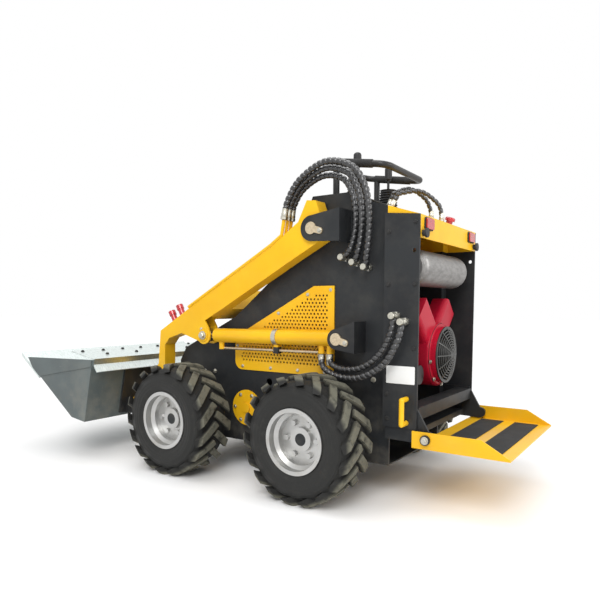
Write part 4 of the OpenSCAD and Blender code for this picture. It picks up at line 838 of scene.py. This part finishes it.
# %% [markdown]
# A product picture has no horizon. The floor is a large pale sheet that takes the shadow near the
# machine and is seen as pure white farther out. The world is white for the camera and in
# reflections, and softer for the light that falls on the machine. Broad area lamps give a key
# from the left, a fill from behind and a gentle top light.

# %% Floor, world and lamps
FLOOR_HALF = 30.0
FLOOR_TONE, FLOOR_MOTTLE = (0.95, 0.95, 0.95, 1), (0.93, 0.93, 0.93, 1)
BLACK, WHITE = (0, 0, 0, 1), (1, 1, 1, 1)
SHADOW_REACH, WHITE_FROM = 1.0, 2.0
SEEN_RAYS = ("Is Camera Ray", "Is Glossy Ray", "Is Transmission Ray")


def floor_sheet():
    """The stage: a flat square that takes the machine's shadow and is seen as white farther out."""
    finish = Finish("floor", roughness=0.8, emission_strength=1.0)
    x, y = finish.axis("X"), finish.axis("Y")
    direct, glossy, through = (finish.node("ShaderNodeLightPath", {}, {}, ray) for ray in SEEN_RAYS)
    seen = direct.math("MAXIMUM", glossy).math("MAXIMUM", through)
    far = ((x * x + y * y) ** 0.5).band(SHADOW_REACH, WHITE_FROM) * seen
    tone = finish.mix(finish.noise(2.0).band(0.3, 0.7), FLOOR_TONE, FLOOR_MOTTLE)
    finish.set(base_color=finish.mix(far, tone, BLACK))
    finish.set(emission_color=finish.mix(far, BLACK, WHITE))
    corners = np.array([(-1, -1, 0), (1, -1, 0), (1, 1, 0), (-1, 1, 0)]) * FLOOR_HALF
    mesh = bpy.data.meshes.new("floor")
    mesh.from_pydata(corners.tolist(), [], [[0, 1, 2, 3]])
    mesh.materials.append(finish.material)
    floor = bpy.data.objects.new("floor", mesh)
    bpy.context.scene.collection.objects.link(floor)


def white_world(seen, light):
    """White where the camera and reflections look, and a softer light everywhere else."""
    world = bpy.data.worlds.new("studio")
    world.use_nodes = True
    tree = world.node_tree
    path = tree.nodes.new("ShaderNodeLightPath")
    seen_by = path.outputs[SEEN_RAYS[0]]
    for ray in SEEN_RAYS[1:]:
        either = tree.nodes.new("ShaderNodeMath")
        either.operation = "MAXIMUM"
        tree.links.new(seen_by, either.inputs[0])
        tree.links.new(path.outputs[ray], either.inputs[1])
        seen_by = either.outputs[0]
    strength = tree.nodes.new("ShaderNodeMapRange")
    tree.links.new(seen_by, strength.inputs["Value"])
    strength.inputs["To Min"].default_value = light
    strength.inputs["To Max"].default_value = seen
    background = tree.nodes["Background"]
    background.inputs["Color"].default_value = WHITE
    tree.links.new(strength.outputs[0], background.inputs["Strength"])
    bpy.context.scene.world = world


def lamp(name, at, aim, size, watts):
    """A square area lamp that faces a point."""
    light = bpy.data.lights.new(name, "AREA")
    light.size, light.energy = size, watts
    body = bpy.data.objects.new(name, light)
    body.location = at
    body.rotation_euler = (Vector(aim) - Vector(at)).to_track_quat("-Z", "Y").to_euler()
    bpy.context.scene.collection.objects.link(body)


WORLD_SEEN, WORLD_LIGHT = 1.0, 0.55
floor_sheet()
white_world(WORLD_SEEN, WORLD_LIGHT)
lamp("key", at=(-2.5, 4.5, 4.5), aim=(0, 0, 0.6), size=3.0, watts=235)
lamp("fill", at=(-5.0, -1.0, 2.5), aim=(0, 0, 0.6), size=3.0, watts=90)
lamp("top", at=(0.5, 0.5, 5.5), aim=(0, 0, 0), size=4.0, watts=130)
bpy.context.scene.view_settings.view_transform = "Standard"
